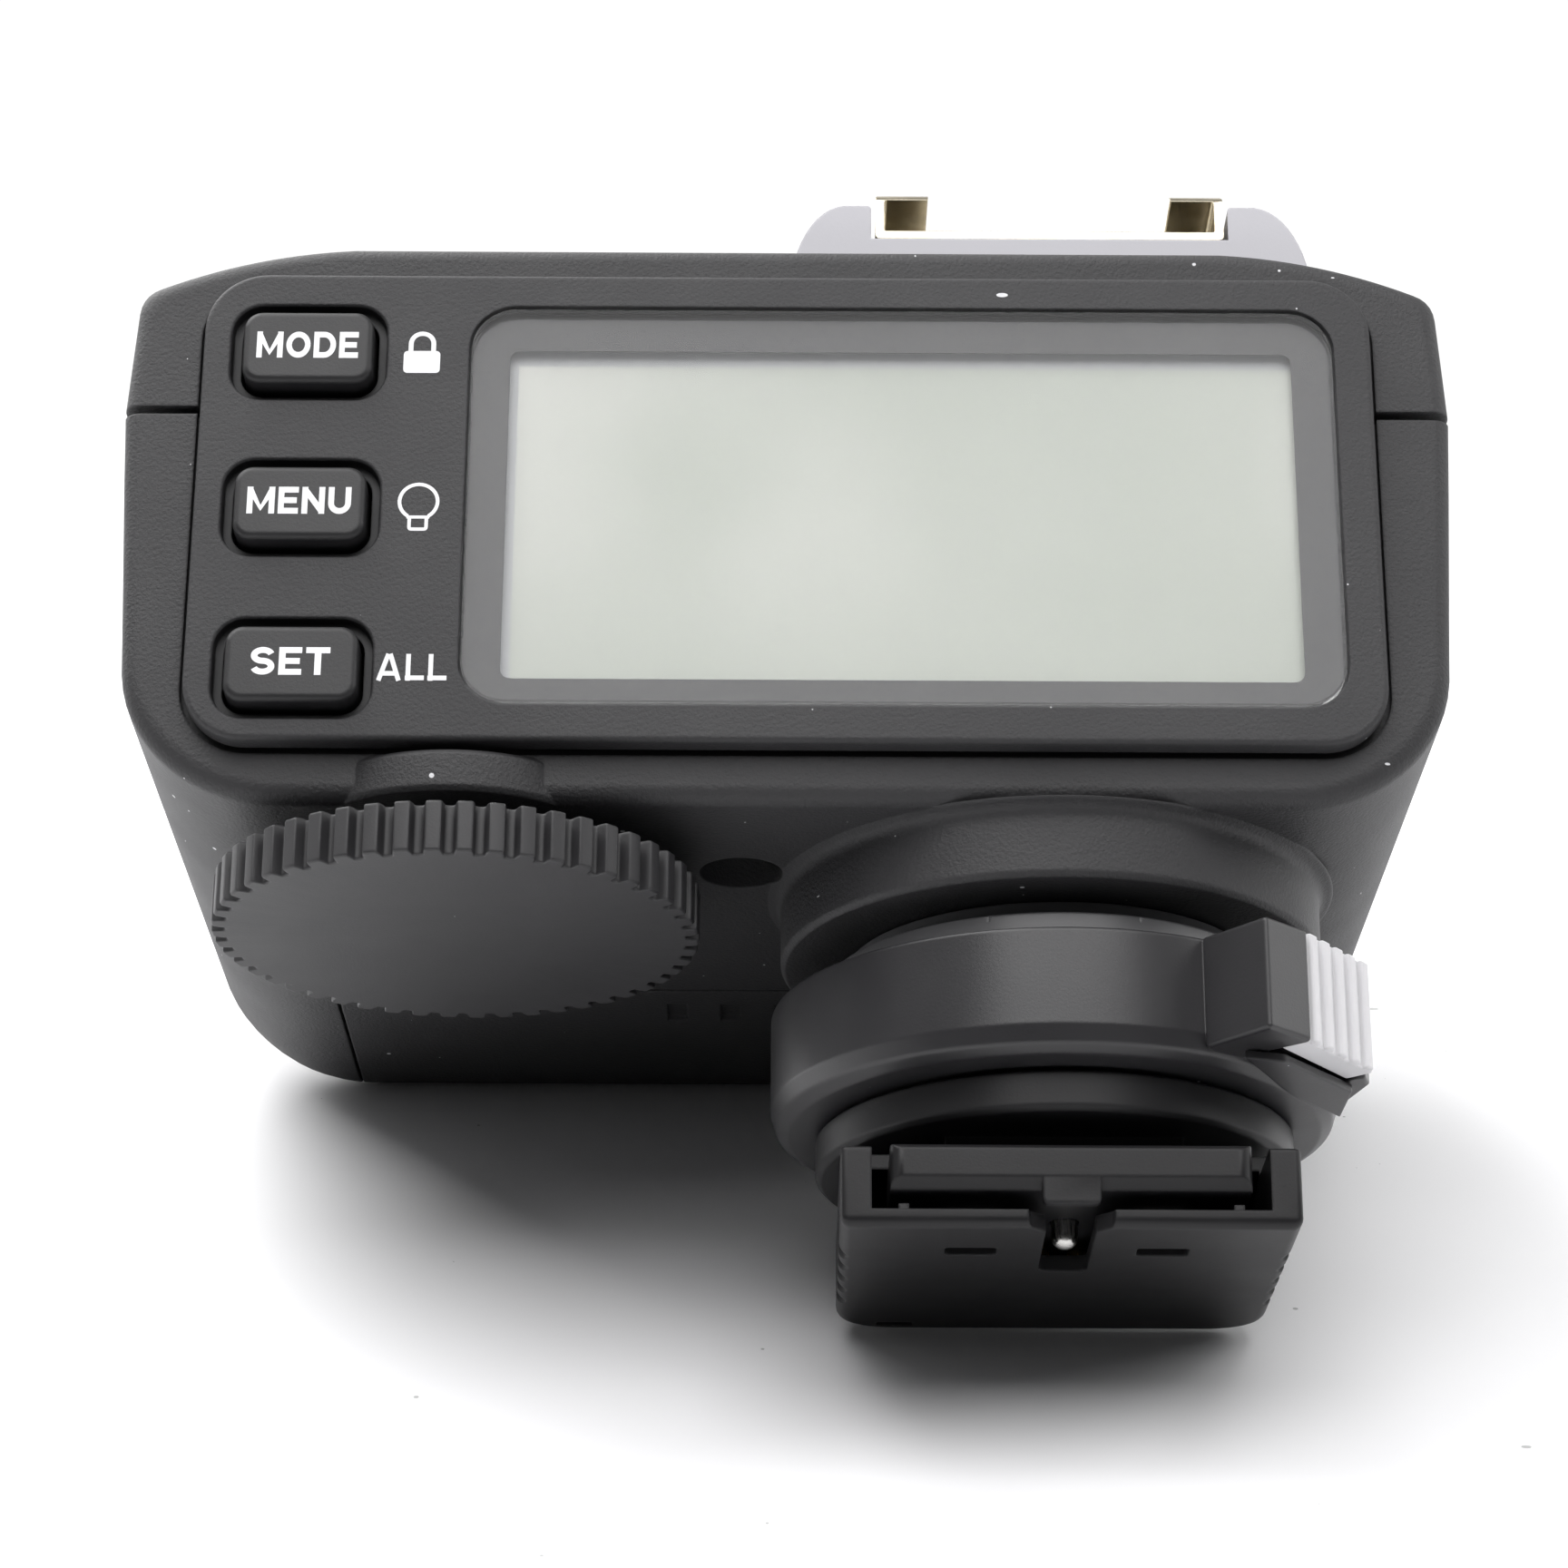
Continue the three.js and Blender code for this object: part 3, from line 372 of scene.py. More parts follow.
# ---- repeated features ----------------------------------------------------------------------
def repeat_tree():
    """Copies a shape along a step and round a centre, then joins the copies and gives a finish."""
    tree = bpy.data.node_groups.new("repeat_feature", "GeometryNodeTree")
    face = tree.interface
    for label, kind in (("Feature", "NodeSocketGeometry"), ("Count", "NodeSocketInt"),
                        ("Turn", "NodeSocketFloat"), ("Step", "NodeSocketVector"),
                        ("Centre", "NodeSocketVector"), ("Finish", "NodeSocketMaterial")):
        face.new_socket(name=label, in_out="INPUT", socket_type=kind)
    face.new_socket(name="Features", in_out="OUTPUT", socket_type="NodeSocketGeometry")
    add, link = tree.nodes.new, tree.links.new
    given, out = add("NodeGroupInput"), add("NodeGroupOutput")
    points, index = add("GeometryNodePoints"), add("GeometryNodeInputIndex")
    link(given.outputs["Count"], points.inputs["Count"])
    stride = add("ShaderNodeVectorMath")
    stride.operation = "SCALE"
    link(given.outputs["Step"], stride.inputs[0])
    link(index.outputs[0], stride.inputs["Scale"])
    place = add("ShaderNodeVectorMath")
    place.operation = "ADD"
    link(stride.outputs[0], place.inputs[0])
    link(given.outputs["Centre"], place.inputs[1])
    link(place.outputs[0], points.inputs["Position"])
    back = add("ShaderNodeVectorMath")
    back.operation = "SCALE"
    back.inputs["Scale"].default_value = -1.0
    link(given.outputs["Centre"], back.inputs[0])
    local = add("GeometryNodeTransform")
    link(given.outputs["Feature"], local.inputs["Geometry"])
    link(back.outputs[0], local.inputs["Translation"])
    angle = add("ShaderNodeMath")
    angle.operation = "MULTIPLY"
    link(index.outputs[0], angle.inputs[0])
    link(given.outputs["Turn"], angle.inputs[1])
    turn = add("ShaderNodeCombineXYZ")
    link(angle.outputs[0], turn.inputs["Z"])
    copies = add("GeometryNodeInstanceOnPoints")
    link(points.outputs[0], copies.inputs["Points"])
    link(local.outputs[0], copies.inputs["Instance"])
    link(turn.outputs[0], copies.inputs["Rotation"])
    real, weld = add("GeometryNodeRealizeInstances"), add("GeometryNodeMergeByDistance")
    paint = add("GeometryNodeSetMaterial")
    weld.inputs["Distance"].default_value = 1e-7
    link(copies.outputs[0], real.inputs[0])
    link(real.outputs[0], weld.inputs["Geometry"])
    link(weld.outputs[0], paint.inputs["Geometry"])
    link(given.outputs["Finish"], paint.inputs["Material"])
    link(paint.outputs[0], out.inputs[0])
    return tree


def repeated(obj, count, material, turn=0.0, step=ORIGIN, centre=ORIGIN):
    """Runs the repeat tree on a shape. Step and centre are in millimetres in the row frame."""
    tree = bpy.data.node_groups.get("repeat_feature") or repeat_tree()
    modifier = obj.modifiers.new("repeat", "NODES")
    modifier.node_group = tree
    ids = {s.name: s.identifier for s in tree.interface.items_tree if s.in_out == "INPUT"}
    modifier[ids["Count"]] = count
    modifier[ids["Turn"]] = turn
    modifier[ids["Step"]] = [c * MM for c in step]
    modifier[ids["Centre"]] = [c * MM for c in centre]
    modifier[ids["Finish"]] = material
    return settle(obj)


# ---- shader groups --------------------------------------------------------------------------
class Nodes:
    """Short ways to add and join shader nodes."""

    def __init__(self, tree):
        self.tree = tree

    def add(self, kind, _set=None, **inputs):
        node = self.tree.nodes.new(kind)
        for name, value in (_set or {}).items():
            setattr(node, name, value)
        for name, value in inputs.items():
            self.feed(node, name.replace("_", " "), value)
        return node

    def feed(self, node, name, value):
        socket = node.inputs[int(name)] if name.strip().isdigit() else node.inputs[name]
        if isinstance(value, bpy.types.NodeSocket):
            self.tree.links.new(value, socket)
        else:
            socket.default_value = value

    def math(self, kind, a, b=0.0, clamp=False):
        node = self.tree.nodes.new("ShaderNodeMath")
        node.operation, node.use_clamp = kind, clamp
        for k, value in enumerate((a, b)):
            self.feed(node, str(k), value)
        return node.outputs[0]

    def remap(self, value, a, b, c, d):
        node = self.add("ShaderNodeMapRange", Value=value)
        for name, number in zip(("From Min", "From Max", "To Min", "To Max"), (a, b, c, d)):
            self.feed(node, name, number)
        return node.outputs[0]

    def mix(self, factor, a, b):
        node = self.tree.nodes.new("ShaderNodeMix")
        node.data_type = "RGBA"
        for k, value in ((0, factor), (6, a), (7, b)):
            self.feed(node, str(k), value)
        return node.outputs[2]


def group(name, inputs, outputs):
    tree = bpy.data.node_groups.new(name, "ShaderNodeTree")
    for label, kind, value in inputs:
        socket = tree.interface.new_socket(name=label, in_out="INPUT", socket_type="NodeSocket" + kind)
        if value is not None:
            socket.default_value = value
    for label, kind in outputs:
        tree.interface.new_socket(name=label, in_out="OUTPUT", socket_type="NodeSocket" + kind)
    nodes = Nodes(tree)
    return tree, nodes, tree.nodes.new("NodeGroupInput").outputs, tree.nodes.new("NodeGroupOutput")


def grain_group():
    """Moulded grain: a fine pebbled height and a slow mottle."""
    tree, n, given, out = group(
        "moulded_grain", [("Vector", "Vector", None), ("Scale", "Float", 4500.0), ("Relief", "Float", 0.5)],
        [("Height", "Float"), ("Mottle", "Float")])
    pebble = n.add("ShaderNodeTexVoronoi", {"feature": "SMOOTH_F1"}, Vector=given["Vector"], Scale=given["Scale"],
                   Smoothness=0.6)
    fine = n.add("ShaderNodeTexNoise", Vector=given["Vector"], Scale=n.math("MULTIPLY", given["Scale"], 2.2),
                 Detail=3.0, Roughness=0.6)
    slow = n.add("ShaderNodeTexNoise", Vector=given["Vector"], Scale=160.0, Detail=3.0)
    height = n.math("ADD", n.math("MULTIPLY", pebble.outputs["Distance"], -0.7), fine.outputs[0])
    n.feed(out, "Height", n.math("MULTIPLY", height, given["Relief"]))
    n.feed(out, "Mottle", n.remap(slow.outputs[0], 0.3, 0.7, 0.0, 1.0))
    return tree


def dust_group():
    """A few bright specks and short fibres."""
    tree, n, given, out = group(
        "dust_specks", [("Vector", "Vector", None), ("Share", "Float", 0.03), ("Size", "Float", 0.05)],
        [("Mask", "Float")])
    mask = None
    for scale, stretch, part in ((620.0, (1, 1, 1), 1.0), (1500.0, (1, 1, 1), 0.35), (300.0, (1, 0.3, 2.4), 0.25)):
        place = n.add("ShaderNodeMapping", Vector=given["Vector"], Scale=stretch, Rotation=(0.4, 0.7, 0.3))
        cells = n.add("ShaderNodeTexVoronoi", Vector=place.outputs[0], Scale=scale)
        chance = n.add("ShaderNodeSeparateColor", Color=cells.outputs["Color"])
        rare = n.math("LESS_THAN", chance.outputs[0], n.math("MULTIPLY", given["Share"], part))
        near = n.math("LESS_THAN", cells.outputs["Distance"],
                      n.math("MULTIPLY", given["Size"], n.math("ADD", chance.outputs[1], 0.5)))
        speck = n.math("MULTIPLY", rare, near)
        mask = speck if mask is None else n.math("MAXIMUM", mask, speck)
    n.feed(out, "Mask", mask)
    return tree


def wear_group():
    """Rounded edge normals and a broken mask of rubbed edges."""
    tree, n, given, out = group(
        "edge_wear", [("Vector", "Vector", None), ("Radius", "Float", 0.00018), ("Amount", "Float", 1.0)],
        [("Mask", "Float"), ("Normal", "Vector")])
    soft = n.add("ShaderNodeBevel", {"samples": 4}, Radius=given["Radius"])
    true = n.add("ShaderNodeNewGeometry")
    facing = n.add("ShaderNodeVectorMath", {"operation": "DOT_PRODUCT"})
    n.feed(facing, "0", soft.outputs[0])
    n.feed(facing, "1", true.outputs["Normal"])
    edge = n.remap(facing.outputs["Value"], 0.995, 0.85, 0.0, 1.0)
    rub = n.add("ShaderNodeTexNoise", Vector=given["Vector"], Scale=900.0, Detail=4.0)
    broken = n.math("MULTIPLY", edge, n.remap(rub.outputs[0], 0.35, 0.65, 0.35, 1.0))
    n.feed(out, "Mask", n.math("MULTIPLY", broken, given["Amount"], clamp=True))
    n.feed(out, "Normal", soft.outputs[0])
    return tree


GROUPS_MADE = {}


def shared(name):
    makers = {"grain": grain_group, "dust": dust_group, "wear": wear_group}
    if name not in GROUPS_MADE:
        GROUPS_MADE[name] = makers[name]()
    return GROUPS_MADE[name]


def colour(value):
    return (*value, 1.0)


def lighter(value, gain):
    return (*[min(c * gain, 1.0) for c in value], 1.0)


def material(name):
    made = bpy.data.materials.new(name)
    made.use_nodes = True
    made.node_tree.nodes.clear()
    n = Nodes(made.node_tree)
    place = n.add("ShaderNodeTexCoord").outputs["Object"]
    shader = n.add("ShaderNodeBsdfPrincipled")
    out = n.add("ShaderNodeOutputMaterial")
    n.feed(out, "Surface", shader.outputs[0])
    return made, n, place, shader


def moulded(name, base, rough=0.5, grain=4500.0, relief=0.5, depth=0.03, dust=0.03, wear=0.6, edge=0.18, specular=0.5,
            mottle=1.12, dust_size=0.05):
    """Moulded plastic with grain, slow colour change, dust and softened edges."""
    made, n, place, shader = material(name)
    skin = n.add("ShaderNodeGroup", {"node_tree": shared("grain")}, Vector=place, Scale=grain, Relief=relief)
    rim = n.add("ShaderNodeGroup", {"node_tree": shared("wear")}, Vector=place, Radius=edge * MM, Amount=wear)
    specks = n.add("ShaderNodeGroup", {"node_tree": shared("dust")}, Vector=place, Share=dust, Size=dust_size)
    body = n.mix(skin.outputs["Mottle"], colour(base), lighter(base, mottle))
    worn = n.mix(rim.outputs["Mask"], body, lighter(base, 1.9))
    n.feed(shader, "Base Color", n.mix(specks.outputs["Mask"], worn, (0.72, 0.72, 0.74, 1.0)))
    n.feed(shader, "Roughness", n.remap(skin.outputs["Mottle"], 0.0, 1.0, rough - 0.03, rough + 0.04))
    bump = n.add("ShaderNodeBump", Strength=1.0, Distance=depth * MM, Height=skin.outputs["Height"],
                 Normal=rim.outputs["Normal"])
    n.feed(shader, "Normal", bump.outputs[0])
    shader.inputs["Specular IOR Level"].default_value = specular
    return made


def metal(name, base, rough=0.25, brushed=(1.0, 60.0, 1.0), tarnish=0.8):
    """Drawn or plated metal with fine lines and a little tarnish."""
    made, n, place, shader = material(name)
    lines = n.add("ShaderNodeMapping", Vector=place, Scale=brushed)
    streak = n.add("ShaderNodeTexNoise", Vector=lines.outputs[0], Scale=400.0, Detail=4.0)
    stain = n.add("ShaderNodeTexNoise", Vector=place, Scale=350.0, Detail=3.0)
    rim = n.add("ShaderNodeGroup", {"node_tree": shared("wear")}, Vector=place, Radius=0.00008, Amount=0.5)
    body = n.mix(n.remap(stain.outputs[0], 0.35, 0.7, 0.0, 1.0), colour(base), lighter(base, tarnish))
    n.feed(shader, "Base Color", n.mix(rim.outputs["Mask"], body, lighter(base, 1.15)))
    n.feed(shader, "Roughness", n.remap(streak.outputs[0], 0.3, 0.7, rough - 0.07, rough + 0.1))
    bump = n.add("ShaderNodeBump", Strength=0.4, Distance=0.00001, Height=streak.outputs[0],
                 Normal=rim.outputs["Normal"])
    n.feed(shader, "Normal", bump.outputs[0])
    shader.inputs["Metallic"].default_value = 1.0
    return made


def clear_window():
    """Display window: clear, lightly smudged, and open to light for what lies behind it."""
    made, n, place, shader = material("clear_window")
    smear = n.add("ShaderNodeTexNoise", Vector=place, Scale=90.0, Detail=4.0)
    specks = n.add("ShaderNodeGroup", {"node_tree": shared("dust")}, Vector=place, Share=0.05, Size=0.045)
    n.feed(shader, "Roughness", n.remap(smear.outputs[0], 0.3, 0.7, 0.0, 0.02))
    n.feed(shader, "Base Color", n.mix(specks.outputs["Mask"], (0.97, 0.975, 0.97, 1.0), (0.9, 0.9, 0.9, 1.0)))
    shader.inputs["Transmission Weight"].default_value = 1.0
    shader.inputs["IOR"].default_value = 1.3
    clear = n.add("ShaderNodeBsdfTransparent")
    ray = n.add("ShaderNodeLightPath")
    blend = n.add("ShaderNodeMixShader")
    n.feed(blend, "0", ray.outputs["Is Shadow Ray"])
    n.feed(blend, "1", shader.outputs[0])
    n.feed(blend, "2", clear.outputs[0])
    n.feed(next(x for x in made.node_tree.nodes if x.type == "OUTPUT_MATERIAL"), "Surface", blend.outputs[0])
    return made


def red_window(name, base):
    """Dark red tinted lens."""
    made, n, place, shader = material(name)
    cloud = n.add("ShaderNodeTexNoise", Vector=place, Scale=200.0, Detail=2.0)
    n.feed(shader, "Base Color", n.mix(cloud.outputs[0], colour(base), lighter(base, 1.4)))
    n.feed(shader, "Roughness", n.remap(cloud.outputs[0], 0.3, 0.7, 0.08, 0.16))
    shader.inputs["Coat Weight"].default_value = 0.6
    shader.inputs["Coat Roughness"].default_value = 0.04
    return made


def display_screen():
    """Unlit display: pale grey green with lighter clouds painted as the soft box's reflection, and a darker, cooler
    strip painted as the frame's shade along its top and left edges.
    """
    made, n, place, shader = material("display_screen")
    base = tuple(finish().screen)
    # Painted reflection: lighter clouds stand in for the soft box mirrored in the screen.
    cloud = n.add("ShaderNodeTexNoise", Vector=place, Scale=55.0, Detail=1.5, Roughness=0.4)
    wide = n.add("ShaderNodeTexNoise", Vector=place, Scale=24.0, Detail=1.0)
    painted_glare_patch = n.math("MULTIPLY", n.remap(cloud.outputs[0], 0.4, 0.6, 0.0, 1.0),
                   n.remap(wide.outputs[0], 0.4, 0.62, 0.15, 1.0))
    screen_with_painted_glare = n.mix(painted_glare_patch, colour(base), (0.36, 0.358, 0.34, 1.0))
    # Painted shade: a darker, cooler strip along the screen's top and left edges, where the frame shades it.
    where = n.add("ShaderNodeSeparateXYZ", Vector=place)
    lo, hi = span("lcd_module")
    top = n.remap(where.outputs["Z"], (hi[2] - 1.45) * MM, (hi[2] - 1.25) * MM, 0.0, 1.0)
    side = n.remap(where.outputs["X"], (lo[0] + 1.3) * MM, (lo[0] + 1.2) * MM, 0.0, 1.0)
    painted_frame_shade = n.math("MAXIMUM", top, side, clamp=True)
    n.feed(shader, "Base Color", n.mix(painted_frame_shade, screen_with_painted_glare, (0.225, 0.23, 0.238, 1.0)))
    dots = n.add("ShaderNodeTexVoronoi", Vector=place, Scale=9000.0)
    bump = n.add("ShaderNodeBump", Strength=0.04, Distance=0.00001, Height=dots.outputs["Distance"])
    n.feed(shader, "Normal", bump.outputs[0])
    n.feed(shader, "Roughness", n.remap(wide.outputs[0], 0.3, 0.7, 0.5, 0.6))
    return made


def circuit_board():
    """Green lacquered board with copper tracks under the lacquer."""
    made, n, place, shader = material("circuit_board")
    lay = n.add("ShaderNodeMapping", Vector=place, Scale=(1.0, 1.0, 0.2))
    tracks = n.add("ShaderNodeTexBrick", Vector=lay.outputs[0], Scale=420.0)
    grainy = n.add("ShaderNodeGroup", {"node_tree": shared("grain")}, Vector=place, Scale=3000.0, Relief=0.3)
    n.feed(tracks, "Color1", (0.008, 0.075, 0.03, 1.0))
    n.feed(tracks, "Color2", (0.006, 0.05, 0.022, 1.0))
    n.feed(tracks, "Mortar", (0.02, 0.13, 0.05, 1.0))
    n.feed(shader, "Base Color", tracks.outputs["Color"])
    n.feed(shader, "Roughness", n.remap(grainy.outputs["Mottle"], 0.0, 1.0, 0.3, 0.45))
    bump = n.add("ShaderNodeBump", Strength=0.5, Distance=0.00003, Height=tracks.outputs["Fac"])
    n.feed(shader, "Normal", bump.outputs[0])
    return made


FINISHES = {}


def finishes():
    """Every material, built once."""
    if FINISHES:
        return FINISHES
    f = finish()
    grain = 1.0 / f.grain
    plastics = {  # colour, roughness, grain a metre, relief, depth, dust, wear, edge, specular, mottle, dust size
        "shell": ("grained_shell", tuple(f.shell), 0.56, grain, 0.6, 0.06, 0.12, 0.5, 0.2, 0.5, 1.12, 0.07),
        "panel": ("grained_panel", tuple(f.shell), 0.58, grain, 0.55, 0.055, 0.12, 0.6, 0.16, 0.5, 1.12, 0.07),
        "smooth": ("satin_plastic", tuple(f.smooth), 0.34, 7000.0, 0.3, 0.012, 0.12, 0.6, 0.16, 0.5),
        # foot: the satin plastic at half its colour and with less specular, painted shade for the foot and cap faces
        # that lie in shadow.
        "foot": ("foot_plastic", tuple(0.5 * c for c in f.smooth), 0.4, 7000.0, 0.3, 0.012, 0.04, 0.8, 0.2, 0.28),
        "dial": ("dial_plastic", tuple(f.smooth), 0.5, 7000.0, 0.4, 0.014, 0.04, 0.7, 0.12, 0.5),
        "keys": ("key_rubber", tuple(f.keys), 0.46, 6500.0, 0.5, 0.016, 0.03, 0.5, 0.15, 0.45),
        "dark": ("dark_plastic", (0.011, 0.011, 0.012), 0.5, 5000.0, 0.4, 0.015, 0.02, 0.4, 0.12, 0.4),
        "pale": ("pale_plastic", tuple(f.pale), 0.5, 5000.0, 0.3, 0.01, 0.0, 0.15, 0.15, 0.5, 1.04),
        "collar": ("collar_plastic", (0.1, 0.1, 0.104), 0.36, 5000.0, 0.3, 0.01, 0.03, 0.4, 0.12, 0.5),
        "shoe": ("shoe_plastic", (0.47, 0.465, 0.495), 0.5, 5000.0, 0.3, 0.012, 0.0, 0.3, 0.14, 0.5, 1.04),
        "legend": ("legend_print", tuple(f.legend), 0.6, 9000.0, 0.3, 0.004, 0.0, 0.0, 0.01, 0.3, 1.02),
        "border": ("window_print", (0.012, 0.012, 0.013), 0.5, 5000.0, 0.3, 0.004, 0.0, 0.0, 0.02, 0.3),
        "rubber": ("grey_silicone", (0.27, 0.275, 0.28), 0.7, 3500.0, 0.4, 0.02, 0.02, 0.2, 0.2, 0.3),
        "wrap": ("cell_wrap", (0.02, 0.15, 0.09), 0.32, 5000.0, 0.2, 0.004, 0.02, 0.4, 0.1, 0.5),
        "light": ("light_guide", (0.8, 0.8, 0.77), 0.35, 4000.0, 0.2, 0.006, 0.0, 0.1, 0.1, 0.5, 1.02),
    }
    FINISHES.update({look: moulded(*values) for look, values in plastics.items()})
    FINISHES.update({
        "steel": metal("bright_steel", (0.62, 0.61, 0.59), 0.26),
        "brass": metal("plated_rail", tuple(f.brass), 0.2, (1.0, 1.0, 40.0), 0.62),
        "gold": metal("gold_contact", (0.83, 0.62, 0.27), 0.22),
        "window": clear_window(),
        "red": red_window("red_lens", (0.12, 0.004, 0.006)),
        "lamp": red_window("status_lens", (0.3, 0.01, 0.012)),
        "screen": display_screen(),
        "board": circuit_board(),
    })
    return FINISHES


# ---- housing --------------------------------------------------------------------------------
def bezier(points, steps):
    a, b, c, d = [Vector(p) for p in points]
    return [tuple(a * (1 - t) ** 3 + b * 3 * t * (1 - t) ** 2 + c * 3 * t ** 2 * (1 - t) + d * t ** 3)
            for t in np.linspace(0, 1, steps + 1)[1:]]


def quadratic(points, steps):
    a, b, c = [Vector(p) for p in points]
    return [tuple(a * (1 - t) ** 2 + b * 2 * t * (1 - t) + c * t ** 2) for t in np.linspace(0, 1, steps + 1)[1:]]


def rear_outline():
    """Right half of the rear view from the underside to the top, then its mirror."""
    half = [(9.0, UNDER_Z), (18.0, UNDER_Z), (27.0, UNDER_Z)]
    half += bezier([(27, UNDER_Z), (31.4, UNDER_Z), (35.2, 25.6), (35.6, 30)], 14)
    half += [(35.8, 34.0), (36.2, 41.5), (HALF_W, SEAM_Z), (36.2, 48.6), (36.0, 51.8)]
    half += quadratic([(36, 51.8), (35.9, 53), (34.9, 53.4)], 5)
    half += quadratic([(34.9, 53.4), (29.8, 55.6), (24.2, TOP_Z)], 14)
    half += [(16.0, TOP_Z), (8.0, TOP_Z)]
    return half + [(-x, z) for x, z in reversed(half)]


def hull_body(name, inset, rear_edge):
    """The housing's outer skin, or the same skin drawn in by inset."""
    outline = rear_outline()
    mid = (UNDER_Z + TOP_Z) / 2
    y0 = inset
    corner, front = 8.0, 5.0
    places = [y0 + rear_edge * (1 - math.cos(QUARTER * k / 5)) for k in range(6)] if rear_edge else [y0]
    places += [12.0, 24.0, 34.0]
    places += [DEPTH - corner + (corner - inset) * math.sin(QUARTER * k / 14) for k in range(15)]
    rings = []
    for y in places:
        back = max(rear_edge - (y - y0), 0.0)
        lip = rear_edge - math.sqrt(max(rear_edge ** 2 - back ** 2, 0.0)) if rear_edge else 0.0
        u = min(max(y - (DEPTH - corner), 0.0) / (corner - inset), 1.0)
        v = min(max(y - (DEPTH - front), 0.0) / (front - inset), 1.0)
        ix = inset + lip + (corner - inset * 0.5) * (1 - math.sqrt(max(1 - u * u, 0.0)))
        iz = inset + lip + (front - inset * 0.5) * (1 - math.sqrt(max(1 - v * v, 0.0)))
        sx, sz = 1 - ix / HALF_W, 1 - 2 * iz / (TOP_Z - UNDER_Z)
        rings.append([(x * sx, y, mid + (z - mid) * sz) for x, z in outline])
    return loft(name, rings)


def switch_slot(y):
    return pad("slot", (y - 2.2, y + 5.2, 34.5, 37.5), "x", -40, -30, r=0.5)


def panel_groove():
    """The narrow shadow gap round the display panel."""
    return [pad("tool", (-32.3, 32.3, 25.1, 53.6), "y", -2, 0.55, r=3.7, steps=14)]


def face_slab(name):
    return block(name, -30.6, 30.6, -1, WALL + 1, 26.9, 51.8)


